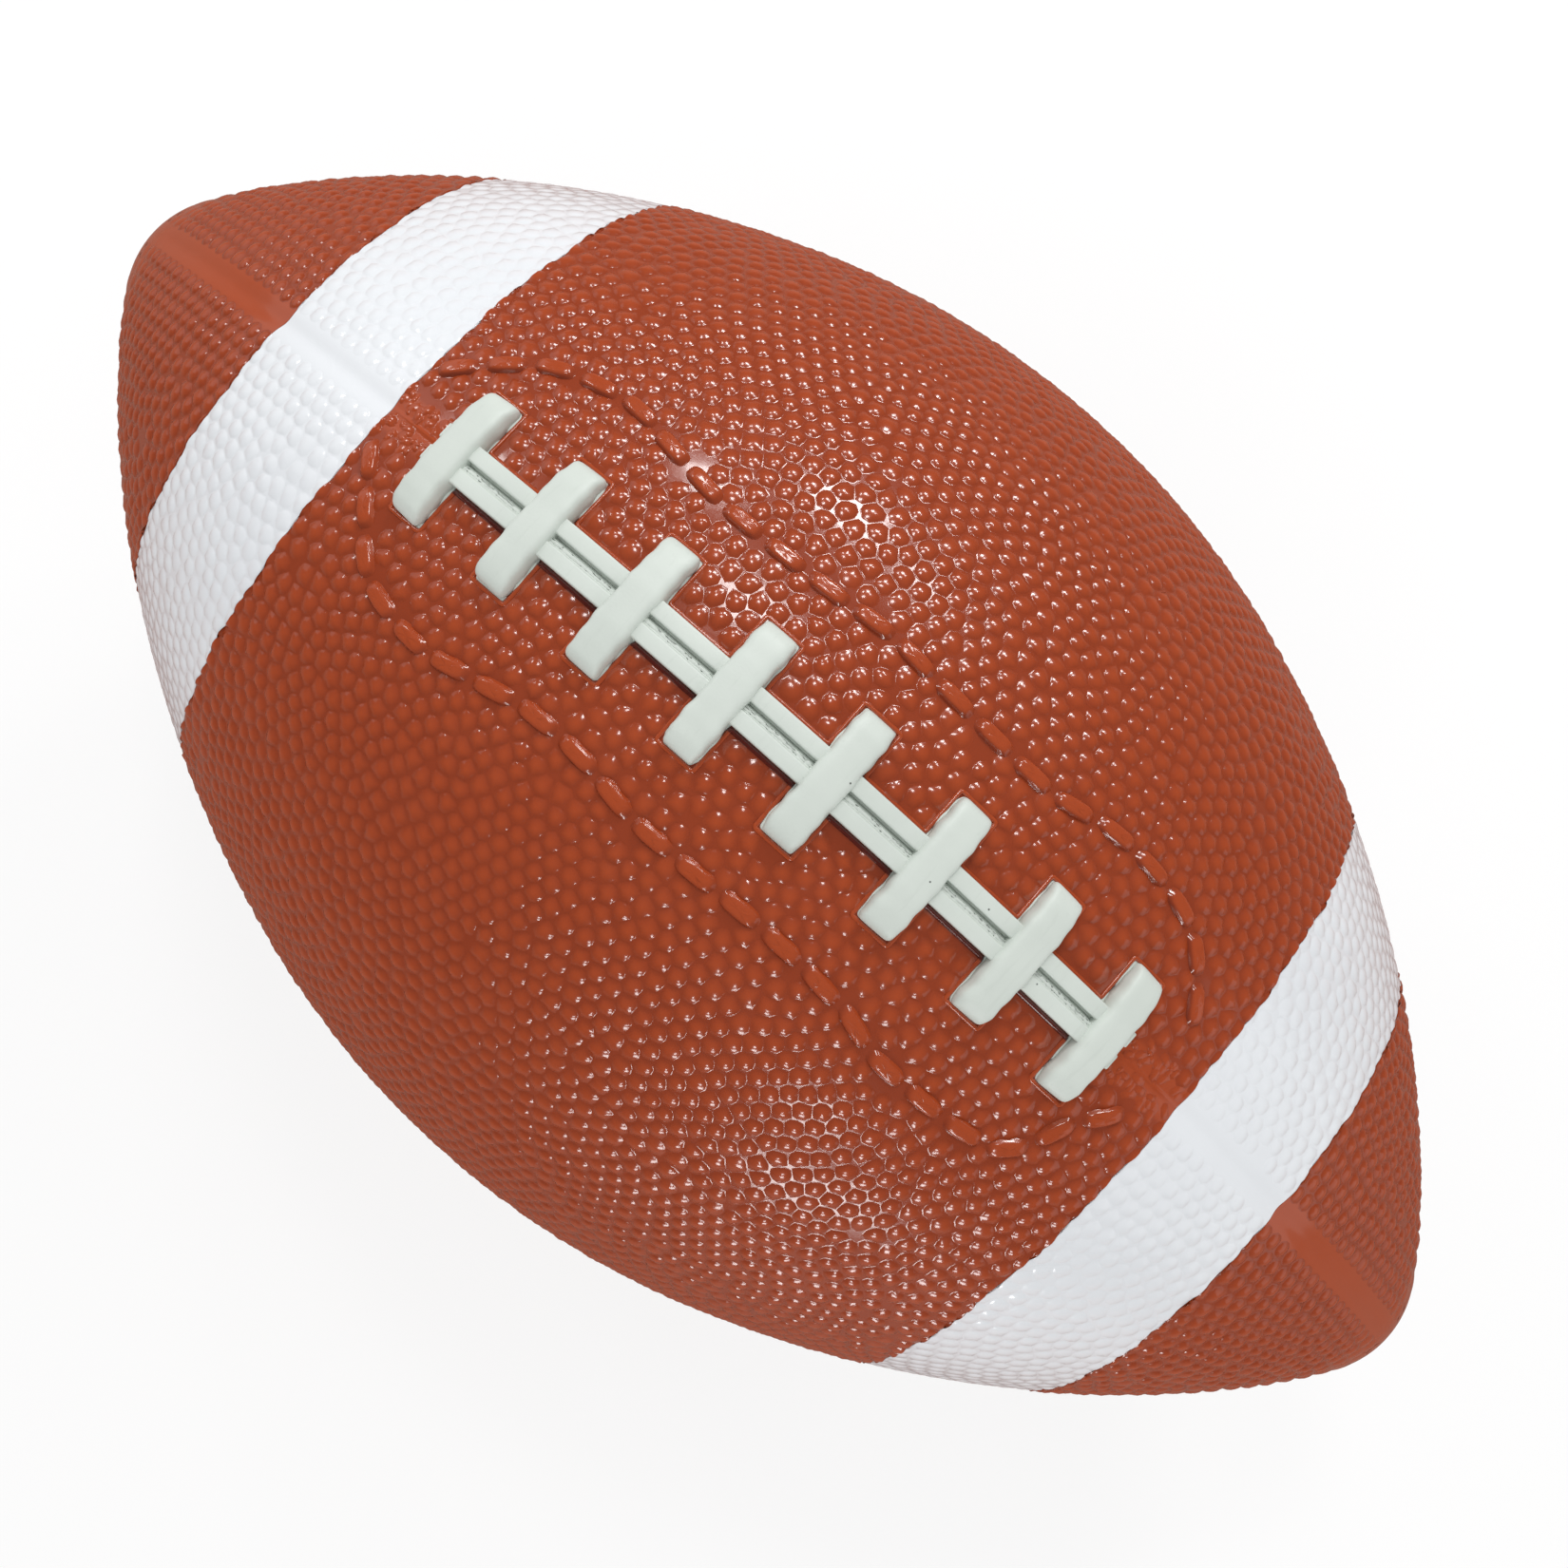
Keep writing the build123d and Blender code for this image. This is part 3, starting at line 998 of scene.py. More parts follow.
@dataclass
class StitchRow:
    """Row of raised pads moulded beside the lace, in the shape of a sewn edge."""

    skin: BallSkin
    side: int
    route: Sequence[tuple[float, float]]
    pitch: float = 7.6
    length: float = 6.5
    width: float = 2.8
    height: float = 0.82
    roughness: float = 0.035
    seed: int = 11
    plan_power: float = 3.4
    ring_shares: Sequence[float] = (0, 0.25, 0.48, 0.7, 0.84, 0.94, 1.05)
    ring_rises: Sequence[float] = (1, 0.99, 0.97, 0.88, 0.62, 0.2, -0.05)
    # Painted shade on each ring, darkest in the groove round a pad, and how much more of it falls on the
    # right as painted shadow
    ring_painted_shade: Sequence[float] = (0, 0, 0, 0.12, 0.42, 0.6, 0.6)
    painted_shade_lean: float = 0.65
    sides: int = 24
    curve_steps: int = 16

    def places(self) -> np.ndarray:
        """Middles and headings of the pads, evenly spaced along a smooth curve through the route.

        The curve is a cubic through each four points in turn, with tangents along their neighbours.

        Returns:
            Rows of run, distance from the seam and heading.
        """
        points = np.array(self.route)
        padded = np.concatenate((2 * points[:1] - points[1:2], points, 2 * points[-1:] - points[-2:-1]))
        share = np.linspace(0, 1, self.curve_steps, endpoint=False)[None, :, None]
        a, b, c, d = (padded[i:len(padded) - 3 + i, None] for i in range(4))
        bend = 2 * a - 5 * b + 4 * c - d + share * (3 * (b - c) + d - a)
        curve = b + 0.5 * share * (c - a + share * bend)
        curve = np.concatenate((curve.reshape(-1, 2), points[-1:]))
        steps = np.diff(curve, axis=0)
        length = np.concatenate(((0,), np.cumsum(np.linalg.norm(steps, axis=1))))
        at = np.arange(self.pitch / 2, length[-1], self.pitch)
        run = np.interp(at, length, curve[:, 0])
        across = np.interp(at, length, curve[:, 1])
        heading = np.interp(at, length[:-1], np.unwrap(np.arctan2(steps[:, 1], steps[:, 0])))
        return np.stack((run, across, heading), axis=1)

    def gap(self, run: np.ndarray, across: np.ndarray) -> np.ndarray:
        """Distance from points to the nearest pad's edge, as to a line with round ends.

        Args:
            run: Runs of the points.
            across: Distances from the seam.

        Returns:
            The distances, less than 0 under a pad.
        """
        places = self.places()
        along_away = run[:, None] - places[:, 0]
        across_away = across[:, None] - places[:, 1]
        along = along_away * np.cos(places[:, 2]) + across_away * np.sin(places[:, 2])
        beside = across_away * np.cos(places[:, 2]) - along_away * np.sin(places[:, 2])
        past = np.maximum(np.abs(along) - (self.length - self.width) / 2, 0)
        return np.hypot(past, beside).min(axis=1) - self.width / 2

    def form(self, floor: float) -> Form:
        """The pads: superellipse rings that step up from a groove in the floor, with painted shade in it, to
        a rough top.

        In the direction t round a pad the painted shade goes as 1 - a sin(t), so most of it lies to the
        right, as a painted shadow.

        Args:
            floor: Height of the cover's floor off the skin.

        Returns:
            All pads of the row.
        """
        turn = turns_round(self.sides)
        shares = np.array(self.ring_shares)[:, None]
        along = shares * self.length / 2 * power_cos(turn, self.plan_power)
        beside = shares * self.width / 2 * power_sin(turn, self.plan_power)
        places = self.places()[:, :, None, None]
        run = places[:, 0] + along * np.cos(places[:, 2]) - beside * np.sin(places[:, 2])
        across = places[:, 1] + along * np.sin(places[:, 2]) + beside * np.cos(places[:, 2])
        rises = np.array(self.ring_rises)[:, None]
        bumps = np.random.default_rng(self.seed).normal(size=run.shape) * np.maximum(rises, 0)
        bumps[:, 0] = 0
        height = floor + self.height * rises + self.roughness * bumps
        # Painted shade round each pad, heavier on its right-hand side
        painted_shade = np.array(self.ring_painted_shade)[:, None] * (1 - self.painted_shade_lean * np.sin(turn)) / (1 + self.painted_shade_lean)
        return cap_forms(self.skin.point(run, across / self.skin.girth(run), height), painted_shade=painted_shade)


@dataclass
class Valve:
    """Moulded ring in the cover round the neck of the needle valve."""

    skin: BallSkin
    place: Place = Place.LOWER_RIGHT
    angle: float = radians(225)
    hole_radius: float = 3.95
    ring_radius: float = 7.4
    ring_rise: float = 0.42
    dip_depth: float = 0.95
    dip_start: float = 4.4
    dip_end: float = 6.9
    clear_radius: float = 7.9
    rounding: float = 0.5
    rounding_steps: int = 5
    sides: int = 72

    def distance(self, run: np.ndarray, angle: np.ndarray) -> np.ndarray:
        """Distance of points of the skin from the valve's axis."""
        return np.hypot(run, (angle - self.angle) * self.skin.girth(run))

    def dip(self, run: np.ndarray, angle: np.ndarray) -> np.ndarray:
        """Depth of the hollow in the floor under the ring."""
        return self.dip_depth * (1 - smoothstep(self.distance(run, angle), self.dip_start, self.dip_end))

    def form(self, floor: float) -> Form:
        """The ring: a rounded section carried round the valve's axis.

        Args:
            floor: Height of the cover's floor off the skin.

        Returns:
            The closed ring.
        """
        top = floor + self.ring_rise
        low = floor - self.dip_depth
        middle = (self.hole_radius + self.ring_radius) / 2
        corners = np.array([
            (middle, low), (self.ring_radius, floor - self.rounding), (self.ring_radius, top),
            (self.hole_radius, top), (self.hole_radius, low), (middle, low),
        ])
        section = rounded_path(corners, self.rounding, self.rounding_steps)[:-1]
        turn = turns_round(self.sides)[:, None]
        run = section[:, 0] * np.cos(turn)
        angle = self.angle + section[:, 0] * np.sin(turn) / self.skin.girth(run)
        return tube_form(self.skin.point(run, angle, section[:, 1]), True)


@dataclass
class PebbleField:
    """Pebbles of one quarter of the ball, by their middles, their reach to each side and their heights."""

    run: np.ndarray
    angle: np.ndarray
    reach: np.ndarray
    height: np.ndarray

    @property
    def radius(self) -> np.ndarray:
        """Mean reach of each pebble."""
        return self.reach.mean(axis=1)

    def part(self, chosen: np.ndarray) -> "PebbleField":
        """The pebbles that a mask chooses."""
        return PebbleField(self.run[chosen], self.angle[chosen], self.reach[chosen], self.height[chosen])

    def lowered(self, share: float) -> "PebbleField":
        """The same pebbles at a share of their heights."""
        return PebbleField(self.run, self.angle, self.reach, self.height * share)


@dataclass
class PebbleGrain:
    """Pebbles of the cover: rows beside each seam that swing into whorls away from it.

    The rows start as a hexagonal lattice along both seams of a quarter, are swung by waves that fade out at
    the seams, and are then pushed apart until no two pebbles crowd each other. Each pebble then grows until a
    thin groove is left between it and its neighbours.
    """

    skin: BallSkin
    pitch: float = 3.05
    first_row: float = 3.9
    wave_lengths: Sequence[float] = (66.0, 39.0, 52.0)
    wave_heights: Sequence[float] = (4.6, 1.5, 2.2)
    wave_start: float = 8.0
    wave_full: float = 26.0
    tip_clear: float = 9.0
    tip_full: float = 24.0
    crowd_share: float = 0.72
    push_rounds: int = 26
    push_share: float = 0.3
    gap_least: float = 0.004
    list_share: float = 1.7
    spread_share: float = 1.02
    free_start: float = 5.5
    free_full: float = 12.0
    fill_share: float = 0.7
    fill_rounds: int = 4
    hold_share: float = 0.47
    drop_share: float = 0.15
    loose_start: float = 3.0
    loose_full: float = 7.0
    radius_share: float = 0.93
    radius_most: float = 0.68
    near_reach: float = 0.17
    seam_share: float = 0.42
    radius_least: float = 0.34
    facing_least: float = 0.3
    height: float = 0.42
    height_spread: float = 0.2
    place_spread: float = 0.09
    slope_step: float = 0.09
    ring_shares: Sequence[float] = (0, 0.5, 0.88, 1.08)
    # Painted shade on each ring, darkest in the grooves between pebbles
    ring_painted_shade: Sequence[float] = (0, 0.14, 0.3, 0.36)
    foot: float = 0.004
    sides: int = 10

    @property
    def turns(self) -> np.ndarray:
        """Directions round a pebble, from growing run towards growing angle."""
        return turns_round(self.sides)

    def rows(self, random: np.random.Generator) -> tuple[np.ndarray, np.ndarray]:
        """Pebble middles from one seam to the middle of the quarter.

        Args:
            random: Source of the waves' phases.

        Returns:
            Runs and distances from the seam.
        """
        row_step = self.pitch * sin(pi / 3)
        spare = max(self.wave_heights)
        row_count = int((self.skin.diameter / 2 * QUARTER / 2 + 2 * spare) / row_step)
        reach = int(self.skin.half_run / self.pitch) + 1
        row = np.arange(row_count)[:, None]
        along = (np.arange(-reach, reach + 1) + 0.5 * (row % 2)) * self.pitch
        out = self.first_row + row * row_step + np.zeros_like(along)
        phases = random.uniform(0, TURN, len(self.wave_heights))
        fade = smoothstep(out, self.wave_start, self.wave_full)
        long_wave, short_wave, cross_wave = (TURN / length for length in self.wave_lengths)
        swing = (self.wave_heights[0] * np.sin(along * long_wave + phases[0])
                 + self.wave_heights[1] * np.sin(along * short_wave + out * cross_wave + phases[1]))
        slide = self.wave_heights[2] * np.sin(out * cross_wave + along * long_wave / 2 + phases[2])
        return (along + fade * slide).ravel(), (out + fade * swing).ravel()

    def pairs(self, places: np.ndarray, reach: float) -> tuple[np.ndarray, np.ndarray]:
        """Numbers of the pebbles that lie within a reach of each other, each pair once."""
        squares = (places**2).sum(axis=1)
        gaps = squares[:, None] + squares - 2 * places @ places.T
        first, second = np.nonzero(gaps < reach**2)
        once = first < second
        return first[once], second[once]

    def held_off(self, run: np.ndarray, local: np.ndarray, room: Room) -> tuple[np.ndarray, np.ndarray]:
        """Moves pebbles away from what they would run into.

        The way out is the slope of the distance, taken over a small step along and around the ball.

        Args:
            run: Runs of the pebbles.
            local: Angles from the quarter's first seam.
            room: Distance from what stands in the quarter.

        Returns:
            The new runs and angles.
        """
        girth = self.skin.girth(run)
        here = room(run, local)
        short = np.maximum(self.pitch * self.hold_share - here, 0) * self.push_share
        step = self.slope_step
        along = (room(run + step, local) - here) / step
        around = (room(run, local + step / girth) - here) / step
        return run + short * along, local + short * around / girth

    def spread(self, run: np.ndarray, local: np.ndarray, room: Room) -> tuple[np.ndarray, np.ndarray]:
        """Pushes crowded pebbles apart, with the rows beside plain seams held.

        Args:
            run: Runs of the pebbles.
            local: Angles from the quarter's first seam.
            room: Distance from what stands in the quarter.

        Returns:
            The new runs and angles.
        """
        wanted = self.pitch * self.spread_share
        first, second = self.pairs(self.skin.point(run, local, 0), self.pitch * self.list_share)
        seam_gap = self.skin.seam_gap(run, local)
        loose = 1 - smoothstep(room(run, local), self.loose_start, self.loose_full)
        freedom = np.maximum(smoothstep(seam_gap, self.free_start, self.free_full), loose) * self.push_share
        for _ in range(self.push_rounds):
            places = self.skin.point(run, local, 0)
            away = places[first] - places[second]
            gap = np.maximum(np.linalg.norm(away, axis=1), self.gap_least)
            push = away * (np.maximum(wanted - gap, 0) / gap)[:, None]
            move = np.zeros_like(places)
            np.add.at(move, first, push)
            np.add.at(move, second, -push)
            along, around = self.skin.directions(run, local)
            run = run + freedom * (move * along).sum(axis=1)
            local = local + freedom * (move * around).sum(axis=1) / self.skin.girth(run)
            run, local = self.held_off(run, local, room)
        return run, local

    def fill(self, run: np.ndarray, local: np.ndarray, room: Room) -> tuple[np.ndarray, np.ndarray]:
        """Adds pebbles from a plain lattice where the rows have left room.

        Args:
            run: Runs of the pebbles.
            local: Angles from the quarter's first seam.
            room: Distance from what stands in the quarter.

        Returns:
            Runs and angles with the new pebbles last.
        """
        row_step = self.pitch * sin(pi / 3)
        reach = self.skin.half_run - self.tip_clear
        rows = np.arange(-reach, reach, row_step)[:, None]
        count = int(self.skin.diameter / 2 * QUARTER / self.pitch) + 1
        out = (np.arange(count) + 0.5 * (np.arange(len(rows))[:, None] % 2)) * self.pitch
        girth = self.skin.girth(rows)
        inside = (out > self.first_row) & (out < QUARTER * girth - self.first_row)
        new_run = (rows + np.zeros_like(out))[inside]
        new_local = (out / girth)[inside]
        new = self.skin.point(new_run, new_local, 0)
        old = self.skin.point(run, local, 0)
        gaps = (new**2).sum(axis=1)[:, None] + (old**2).sum(axis=1) - 2 * new @ old.T
        free = gaps.min(axis=1) > (self.fill_share * self.pitch) ** 2
        free &= room(new_run, new_local) > self.drop_share * self.pitch
        return np.concatenate((run, new_run[free])), np.concatenate((local, new_local[free]))

    def cells(self, run: np.ndarray, local: np.ndarray, room: Room) -> np.ndarray:
        """Reach of each pebble to each side: a share of the way to the line midway to a neighbour.

        In a direction at an angle a from a neighbour at a distance d, that line lies d / (2 cos a) away.
        Pebbles beside a seam, or beside what stands in the quarter, reach less far.

        Args:
            run: Runs of the pebbles.
            local: Angles from the quarter's first seam.
            room: Distance from what stands in the quarter.

        Returns:
            The reach, pebbles by directions.
        """
        places = self.skin.point(run, local, 0)
        first, second = self.pairs(places, self.pitch * self.list_share)
        here, there = np.concatenate((first, second)), np.concatenate((second, first))
        away = places[there] - places[here]
        along, around = self.skin.directions(run[here], local[here])
        toward = np.arctan2((away * around).sum(axis=1), (away * along).sum(axis=1))
        facing = np.cos(self.turns - toward[:, None])
        midway = np.linalg.norm(away, axis=1)[:, None] / 2 / np.maximum(facing, self.facing_least)
        seam_gap = self.skin.seam_gap(run, local)
        near = np.minimum(room(run, local) + self.pitch * self.near_reach, seam_gap * self.seam_share)
        most = np.minimum(near, self.pitch * self.radius_most)[:, None]
        reach = np.repeat(most, self.sides, axis=1)
        np.minimum.at(reach, here, np.where(facing > self.facing_least, midway, most[here]))
        return np.maximum(reach * self.radius_share, self.pitch * self.radius_least)

    def scatter(self, place: Place, room: Room) -> PebbleField:
        """Lays the pebbles of one quarter.

        Args:
            place: The quarter.
            room: Distance from what stands in the quarter.

        Returns:
            Its pebbles, of which a few may still stand too close to something.
        """
        random = np.random.default_rng(place.value[1])
        halves = []
        for seam in (0, QUARTER):
            run, out = self.rows(random)
            inside = np.abs(run) < self.skin.half_run - self.tip_clear
            run, out = run[inside], out[inside]
            local = out / self.skin.girth(run)
            inside = local < QUARTER / 2
            halves.append((run[inside], np.abs(seam - local[inside])))
        run, local = (np.concatenate(values) for values in zip(*halves))
        crowding = self.pairs(self.skin.point(run, local, 0), self.pitch * self.crowd_share)[1]
        kept = room(run, local) > self.drop_share * self.pitch
        kept[crowding] = False
        run, local = self.spread(run[kept], local[kept], room)
        for _ in range(self.fill_rounds):
            run, local = self.spread(*self.fill(run, local, room), room)
        shake = self.place_spread * random.normal(size=(2, len(run)))
        run = run + shake[0]
        local = local + shake[1] / self.skin.girth(run)
        reach = self.cells(run, local, room)
        fade = self.skin.off_tips(run, self.tip_clear, self.tip_full)
        size = np.minimum(2 * reach.mean(axis=1) / (self.pitch * self.radius_share), 1)
        height = self.height * fade * size * (1 + self.height_spread * random.uniform(-1, 1, len(run)))
        return PebbleField(run, place.start + local, reach, height)

    def form(self, field_part: PebbleField, floor: Level, bound: Bound) -> Form:
        """The pebbles: domes whose height falls as 1 - s^2 with the share s of the reach, then a fillet.

        The normals come from the slope 2s, and are level at the outer edge of the fillet. Painted shade lies
        in the grooves, less of it round low pebbles.

        Args:
            field_part: The pebbles to make.
            floor: Height of the cover's floor off the skin, of runs and angles.
            bound: Moves the runs of points that lie past a stripe's edge back to the edge.

        Returns:
            All pebbles.
        """
        turn = self.turns
        share = np.array(self.ring_shares)[:, None]
        full = field_part.reach[:, None, :]
        tall = field_part.height[:, None, None] + self.foot
        run = field_part.run[:, None, None] + full * share * np.cos(turn)
        angle = full * share * np.sin(turn) / self.skin.girth(field_part.run)[:, None, None]
        angle = field_part.angle[:, None, None] + angle
        run = bound(run, angle, field_part.run[:, None, None])
        height = floor(run, angle) - self.foot + tall * np.maximum(1 - share**2, 0)
        slope = tall * 2 * share * (share < 1) / full
        along, around = self.skin.directions(run, angle)
        tilt = (slope * np.cos(turn))[..., None] * along + (slope * np.sin(turn))[..., None] * around
        normals = self.skin.normal(run, angle) + tilt
        normals /= np.linalg.norm(normals, axis=-1, keepdims=True)
        # Painted shade in the grooves, less of it round low pebbles
        painted_shade = np.array(self.ring_painted_shade)[:, None] * np.minimum(tall / self.height, 1)
        return cap_forms(self.skin.point(run, angle, height), normals, painted_shade)


@dataclass
class Cover:
    """Cover of the ball: four panels with the stripes let into them.

    The floor of the cover lies a little below the skin, so that the tops of the pebbles stand a little above
    it. Along each seam the floor sinks into a shallow trough.
    """

    skin: BallSkin
    lace: Lace
    valve: Valve
    grain: PebbleGrain
    stitches: Sequence[StitchRow]
    thickness: float = 1.9
    floor: float = -0.3
    seam_half_width: float = 2.6
    seam_depth: float = 0.36
    ridge_rise: float = 0.2
    ridge_half_width: float = 0.5
    ridge_fade: float = 3.0
    seam_fade: tuple[float, float] = (9.0, 24.0)
    stripe_setback: float = 67.1
    stripe_width: float = 29.6
    stripe_thickness: float = 0.8
    stripe_gap: float = 0.12
    stripe_share: float = 0.5
    sway_reach: float = 5.0
    sway_heights: Sequence[float] = (0.2, 0.13)
    sway_counts: Sequence[int] = (17, 41)
    row_step: float = 2.6
    edge_steps: Sequence[float] = (0, 0.18, 0.36, 0.6, 1.1, 1.7, 2.3, 2.9, 3.6)
    edge_share: float = 0.3
    column_step: float = 2.6
    girth_least: float = 0.12
    inner_columns: int = 9
    lip_clearance: float = 0.42
    lip_half_width: float = 0.36
    lip_rise: float = 0.34
    lip_rounding: float = 0.45
    lip_steps: int = 5
    lip_section: int = 9
    near_share: float = 0.75
    stitch_overlap: float = 0.05
    split_least: float = 0.1
    wrinkle_count: int = 26
    wrinkle_zone: tuple[float, float] = (0.8, 4.0)
    wrinkle_radius: tuple[float, float] = (0.45, 1.05)
    wrinkle_height: tuple[float, float] = (0.1, 0.3)
    wrinkle_sway: float = 0.35
    wrinkle_seed: int = 17

    def __post_init__(self) -> None:
        """Works out where the stripes lie along the skin."""
        self.stripe_end = self.skin.half_run - self.stripe_setback
        self.stripe_start = self.stripe_end - self.stripe_width

    def columns(self, run: np.ndarray) -> np.ndarray:
        """Angles of the columns across a quarter, close together beside both seams.

        Args:
            run: Runs of the rows.

        Returns:
            Angles from the first seam, rows by columns.
        """
        girth = np.maximum(self.skin.girth(run), self.girth_least)[:, None]
        steps = np.array(self.edge_steps)
        edge = np.minimum(steps / girth, steps / steps[-1] * self.edge_share * QUARTER / 2)
        count = int(self.skin.diameter / 2 * QUARTER / self.column_step)
        share = np.linspace(0, 1, count)[1:-1]
        middle = edge[:, -1:] + (QUARTER - 2 * edge[:, -1:]) * share
        return np.concatenate((edge, middle, (QUARTER - edge)[:, ::-1]), axis=1)

    def swayed(self, run: np.ndarray, angle: np.ndarray) -> np.ndarray:
        """Runs moved a little near the stripes' edges, so that these wander as a cast edge does."""
        sway = np.zeros_like(run + angle)
        edges = (-self.stripe_end, -self.stripe_start, self.stripe_start, self.stripe_end)
        for number, edge in enumerate(edges):
            near = 1 - smoothstep(np.abs(run - edge), 0, self.sway_reach)
            for height, count in zip(self.sway_heights, self.sway_counts):
                sway = sway + near * height * np.sin(count * angle + count * number)
        return run + sway

    def edges(self, run: np.ndarray, angle: np.ndarray) -> tuple[np.ndarray, np.ndarray]:
        """Distances from mid length to the near and far edge of the stripe at the end where each run lies."""
        side = np.sign(run)
        near = self.swayed(side * self.stripe_start, angle)
        return np.abs(near), np.abs(self.swayed(side * self.stripe_end, angle))

    def onto_stripes(self, run: np.ndarray, angle: np.ndarray, middle: np.ndarray) -> np.ndarray:
        """Moves points of pebbles onto the stripe near which their middles lie."""
        side = np.sign(middle)
        return side * np.clip(side * run, *self.edges(middle, angle))

    def off_stripes(self, run: np.ndarray, angle: np.ndarray, middle: np.ndarray) -> np.ndarray:
        """Moves points of pebbles off the stripe, to the side of it on which their middles lie."""
        side = np.sign(middle)
        near, far = self.edges(middle, angle)
        inside = np.abs(middle) < (self.stripe_start + self.stripe_end) / 2
        near, far = near - self.stripe_gap, far + self.stripe_gap
        return side * np.where(inside, np.minimum(side * run, near), np.maximum(side * run, far))

    def floor_height(self, run: np.ndarray, local: np.ndarray) -> np.ndarray:
        """Height of the floor off the skin: level, with a cosine trough along each seam.

        Between the stripes the trough has a parting ridge with the section of a cosine.

        Args:
            run: Runs of the points.
            local: Angles from the quarter's first seam.

        Returns:
            The heights.
        """
        gap = self.skin.seam_gap(run, local)
        trough = 0.5 + 0.5 * np.cos(np.minimum(gap / self.seam_half_width, 1) * pi)
        fade = self.skin.off_tips(run, *self.seam_fade)
        ridge = 0.5 + 0.5 * np.cos(np.minimum(gap / self.ridge_half_width, 1) * pi)
        between = smoothstep(self.stripe_start - np.abs(run), 0, self.ridge_fade)
        return self.floor - self.seam_depth * trough * fade + self.ridge_rise * ridge * between

    def level(self, place: Place) -> Level:
        """Makes the floor's height function of one quarter.

        Args:
            place: The quarter.

        Returns:
            The function, of runs and angles.
        """
        def height(run: np.ndarray, angle: np.ndarray) -> np.ndarray:
            """Heights at these points of the skin."""
            return self.floor_height(run, angle - place.start)

        return height

    def panel_slab(self, place: Place) -> Form:
        """Slab of one panel from tip to tip, with a pocket under each stripe.

        Where the pebbles stand its floor holds as much painted shade as their outer rings.

        Args:
            place: The quarter.

        Returns:
            The closed slab.
        """
        near, far = self.stripe_start - self.stripe_gap, self.stripe_end + self.stripe_gap
        ends = (-self.skin.half_run, -far, -near, near, far, self.skin.half_run)
        spans = [
            np.linspace(first, last, max(int((last - first) / self.row_step), 2))
            for first, last in zip(ends[:-1], ends[1:])
        ]
        runs = np.concatenate(spans)
        pockets = [np.full(len(span), number % 2) for number, span in enumerate(spans)]
        drops = np.concatenate(pockets) * self.stripe_thickness
        local = self.columns(runs)
        angle = place.start + local
        run = self.swayed(runs[:, None], angle)
        height = self.floor_height(run, local) - drops[:, None]
        if place is self.valve.place:
            height = height - self.valve.dip(run, angle)
        inner_angle = place.start + np.linspace(0, QUARTER, self.inner_columns)
        inner = self.skin.point(runs[:, None], inner_angle, -self.thickness)
        steps = np.cumsum([len(span) for span in spans])[:-1]
        slab = slab_form(self.skin.point(run, angle, height), inner, True, steps)
        gap = self.skin.seam_gap(run, local)
        beside = smoothstep(gap, self.seam_half_width, self.grain.first_row)
        fade = self.skin.off_tips(run, self.grain.tip_clear, self.grain.tip_full)
        # Painted shade on the floor between the pebbles, as on their outer rings
        slab.painted_shade[:run.size] = (self.grain.ring_painted_shade[-1] * beside * fade).ravel()
        return slab

    def stripe_slab(self, place: Place, end: End) -> Form:
        """Slab of one stripe strip.

        Args:
            place: The quarter.
            end: The end of the ball.

        Returns:
            The closed slab.
        """
        first, last = sorted((end.side * self.stripe_start, end.side * self.stripe_end))
        runs = np.linspace(first, last, int(self.stripe_width / self.row_step) + 1)
        local = self.columns(runs)
        angle = place.start + local
        run = self.swayed(runs[:, None], angle)
        height = self.floor_height(run, local)
        under = height - self.stripe_thickness + self.stripe_gap
        return slab_form(self.skin.point(run, angle, height), self.skin.point(run, angle, under), False)

    def lip(self, side: int) -> Form:
        """Thin lip that the cover has round the lace: half a round bead along the lace's edge.

        Args:
            side: 1 for the left of the seam and -1 for the right.

        Returns:
            The bead, closed at both ends.
        """
        path = rounded_path(self.lace.outline(side, self.lip_clearance), self.lip_rounding, self.lip_steps)
        tangent = np.gradient(path, axis=0)
        tangent /= np.linalg.norm(tangent, axis=1, keepdims=True)
        beside = np.stack((-tangent[:, 1], tangent[:, 0]), axis=1)
        turn = np.linspace(pi, 0, self.lip_section)
        offset = self.lip_half_width * np.cos(turn)
        height = self.floor - self.grain.foot + (self.lip_rise + self.grain.foot) * np.sin(turn)
        run = path[:, :1] + beside[:, :1] * offset
        across = path[:, 1:] + beside[:, 1:] * offset
        return tube_form(self.skin.point(run, across / self.skin.girth(run), height), False)

    def room(self, place: Place) -> Room:
        """Makes the distance function of one quarter, to the lace's lip, the stitches and the valve.

        Args:
            place: The quarter.

        Returns:
            The function, of runs and of angles from the quarter's first seam.
        """
        def distance(run: np.ndarray, local: np.ndarray) -> np.ndarray:
            """Distances at these points of the skin."""
            angle = place.start + local
            found = np.full(run.shape, self.skin.length)
            if place is Place.UPPER_LEFT or place is Place.UPPER_RIGHT:
                across = self.skin.girth(run) * ((angle + pi) % TURN - pi)
                found = self.lace.gap(run, across) - self.lip_clearance
                for row in self.stitches:
                    found = np.minimum(found, row.gap(run, across) + self.stitch_overlap)
            if place is self.valve.place:
                found = np.minimum(found, self.valve.distance(run, angle) - self.valve.clear_radius)
            return found

        return distance

    def clear_of(self, pebbles: PebbleField, place: Place) -> PebbleField:
        """Leaves out the pebbles that would run into the seams, the lace, the stitches or the valve.

        Args:
            pebbles: Pebbles of the quarter.
            place: The quarter.

        Returns:
            Those that are left.
        """
        local = pebbles.angle - place.start
        seam_gap = self.skin.seam_gap(pebbles.run, local)
        clear = np.minimum(seam_gap - self.seam_half_width, self.room(place)(pebbles.run, local))
        return pebbles.part(clear > pebbles.radius * self.near_share)

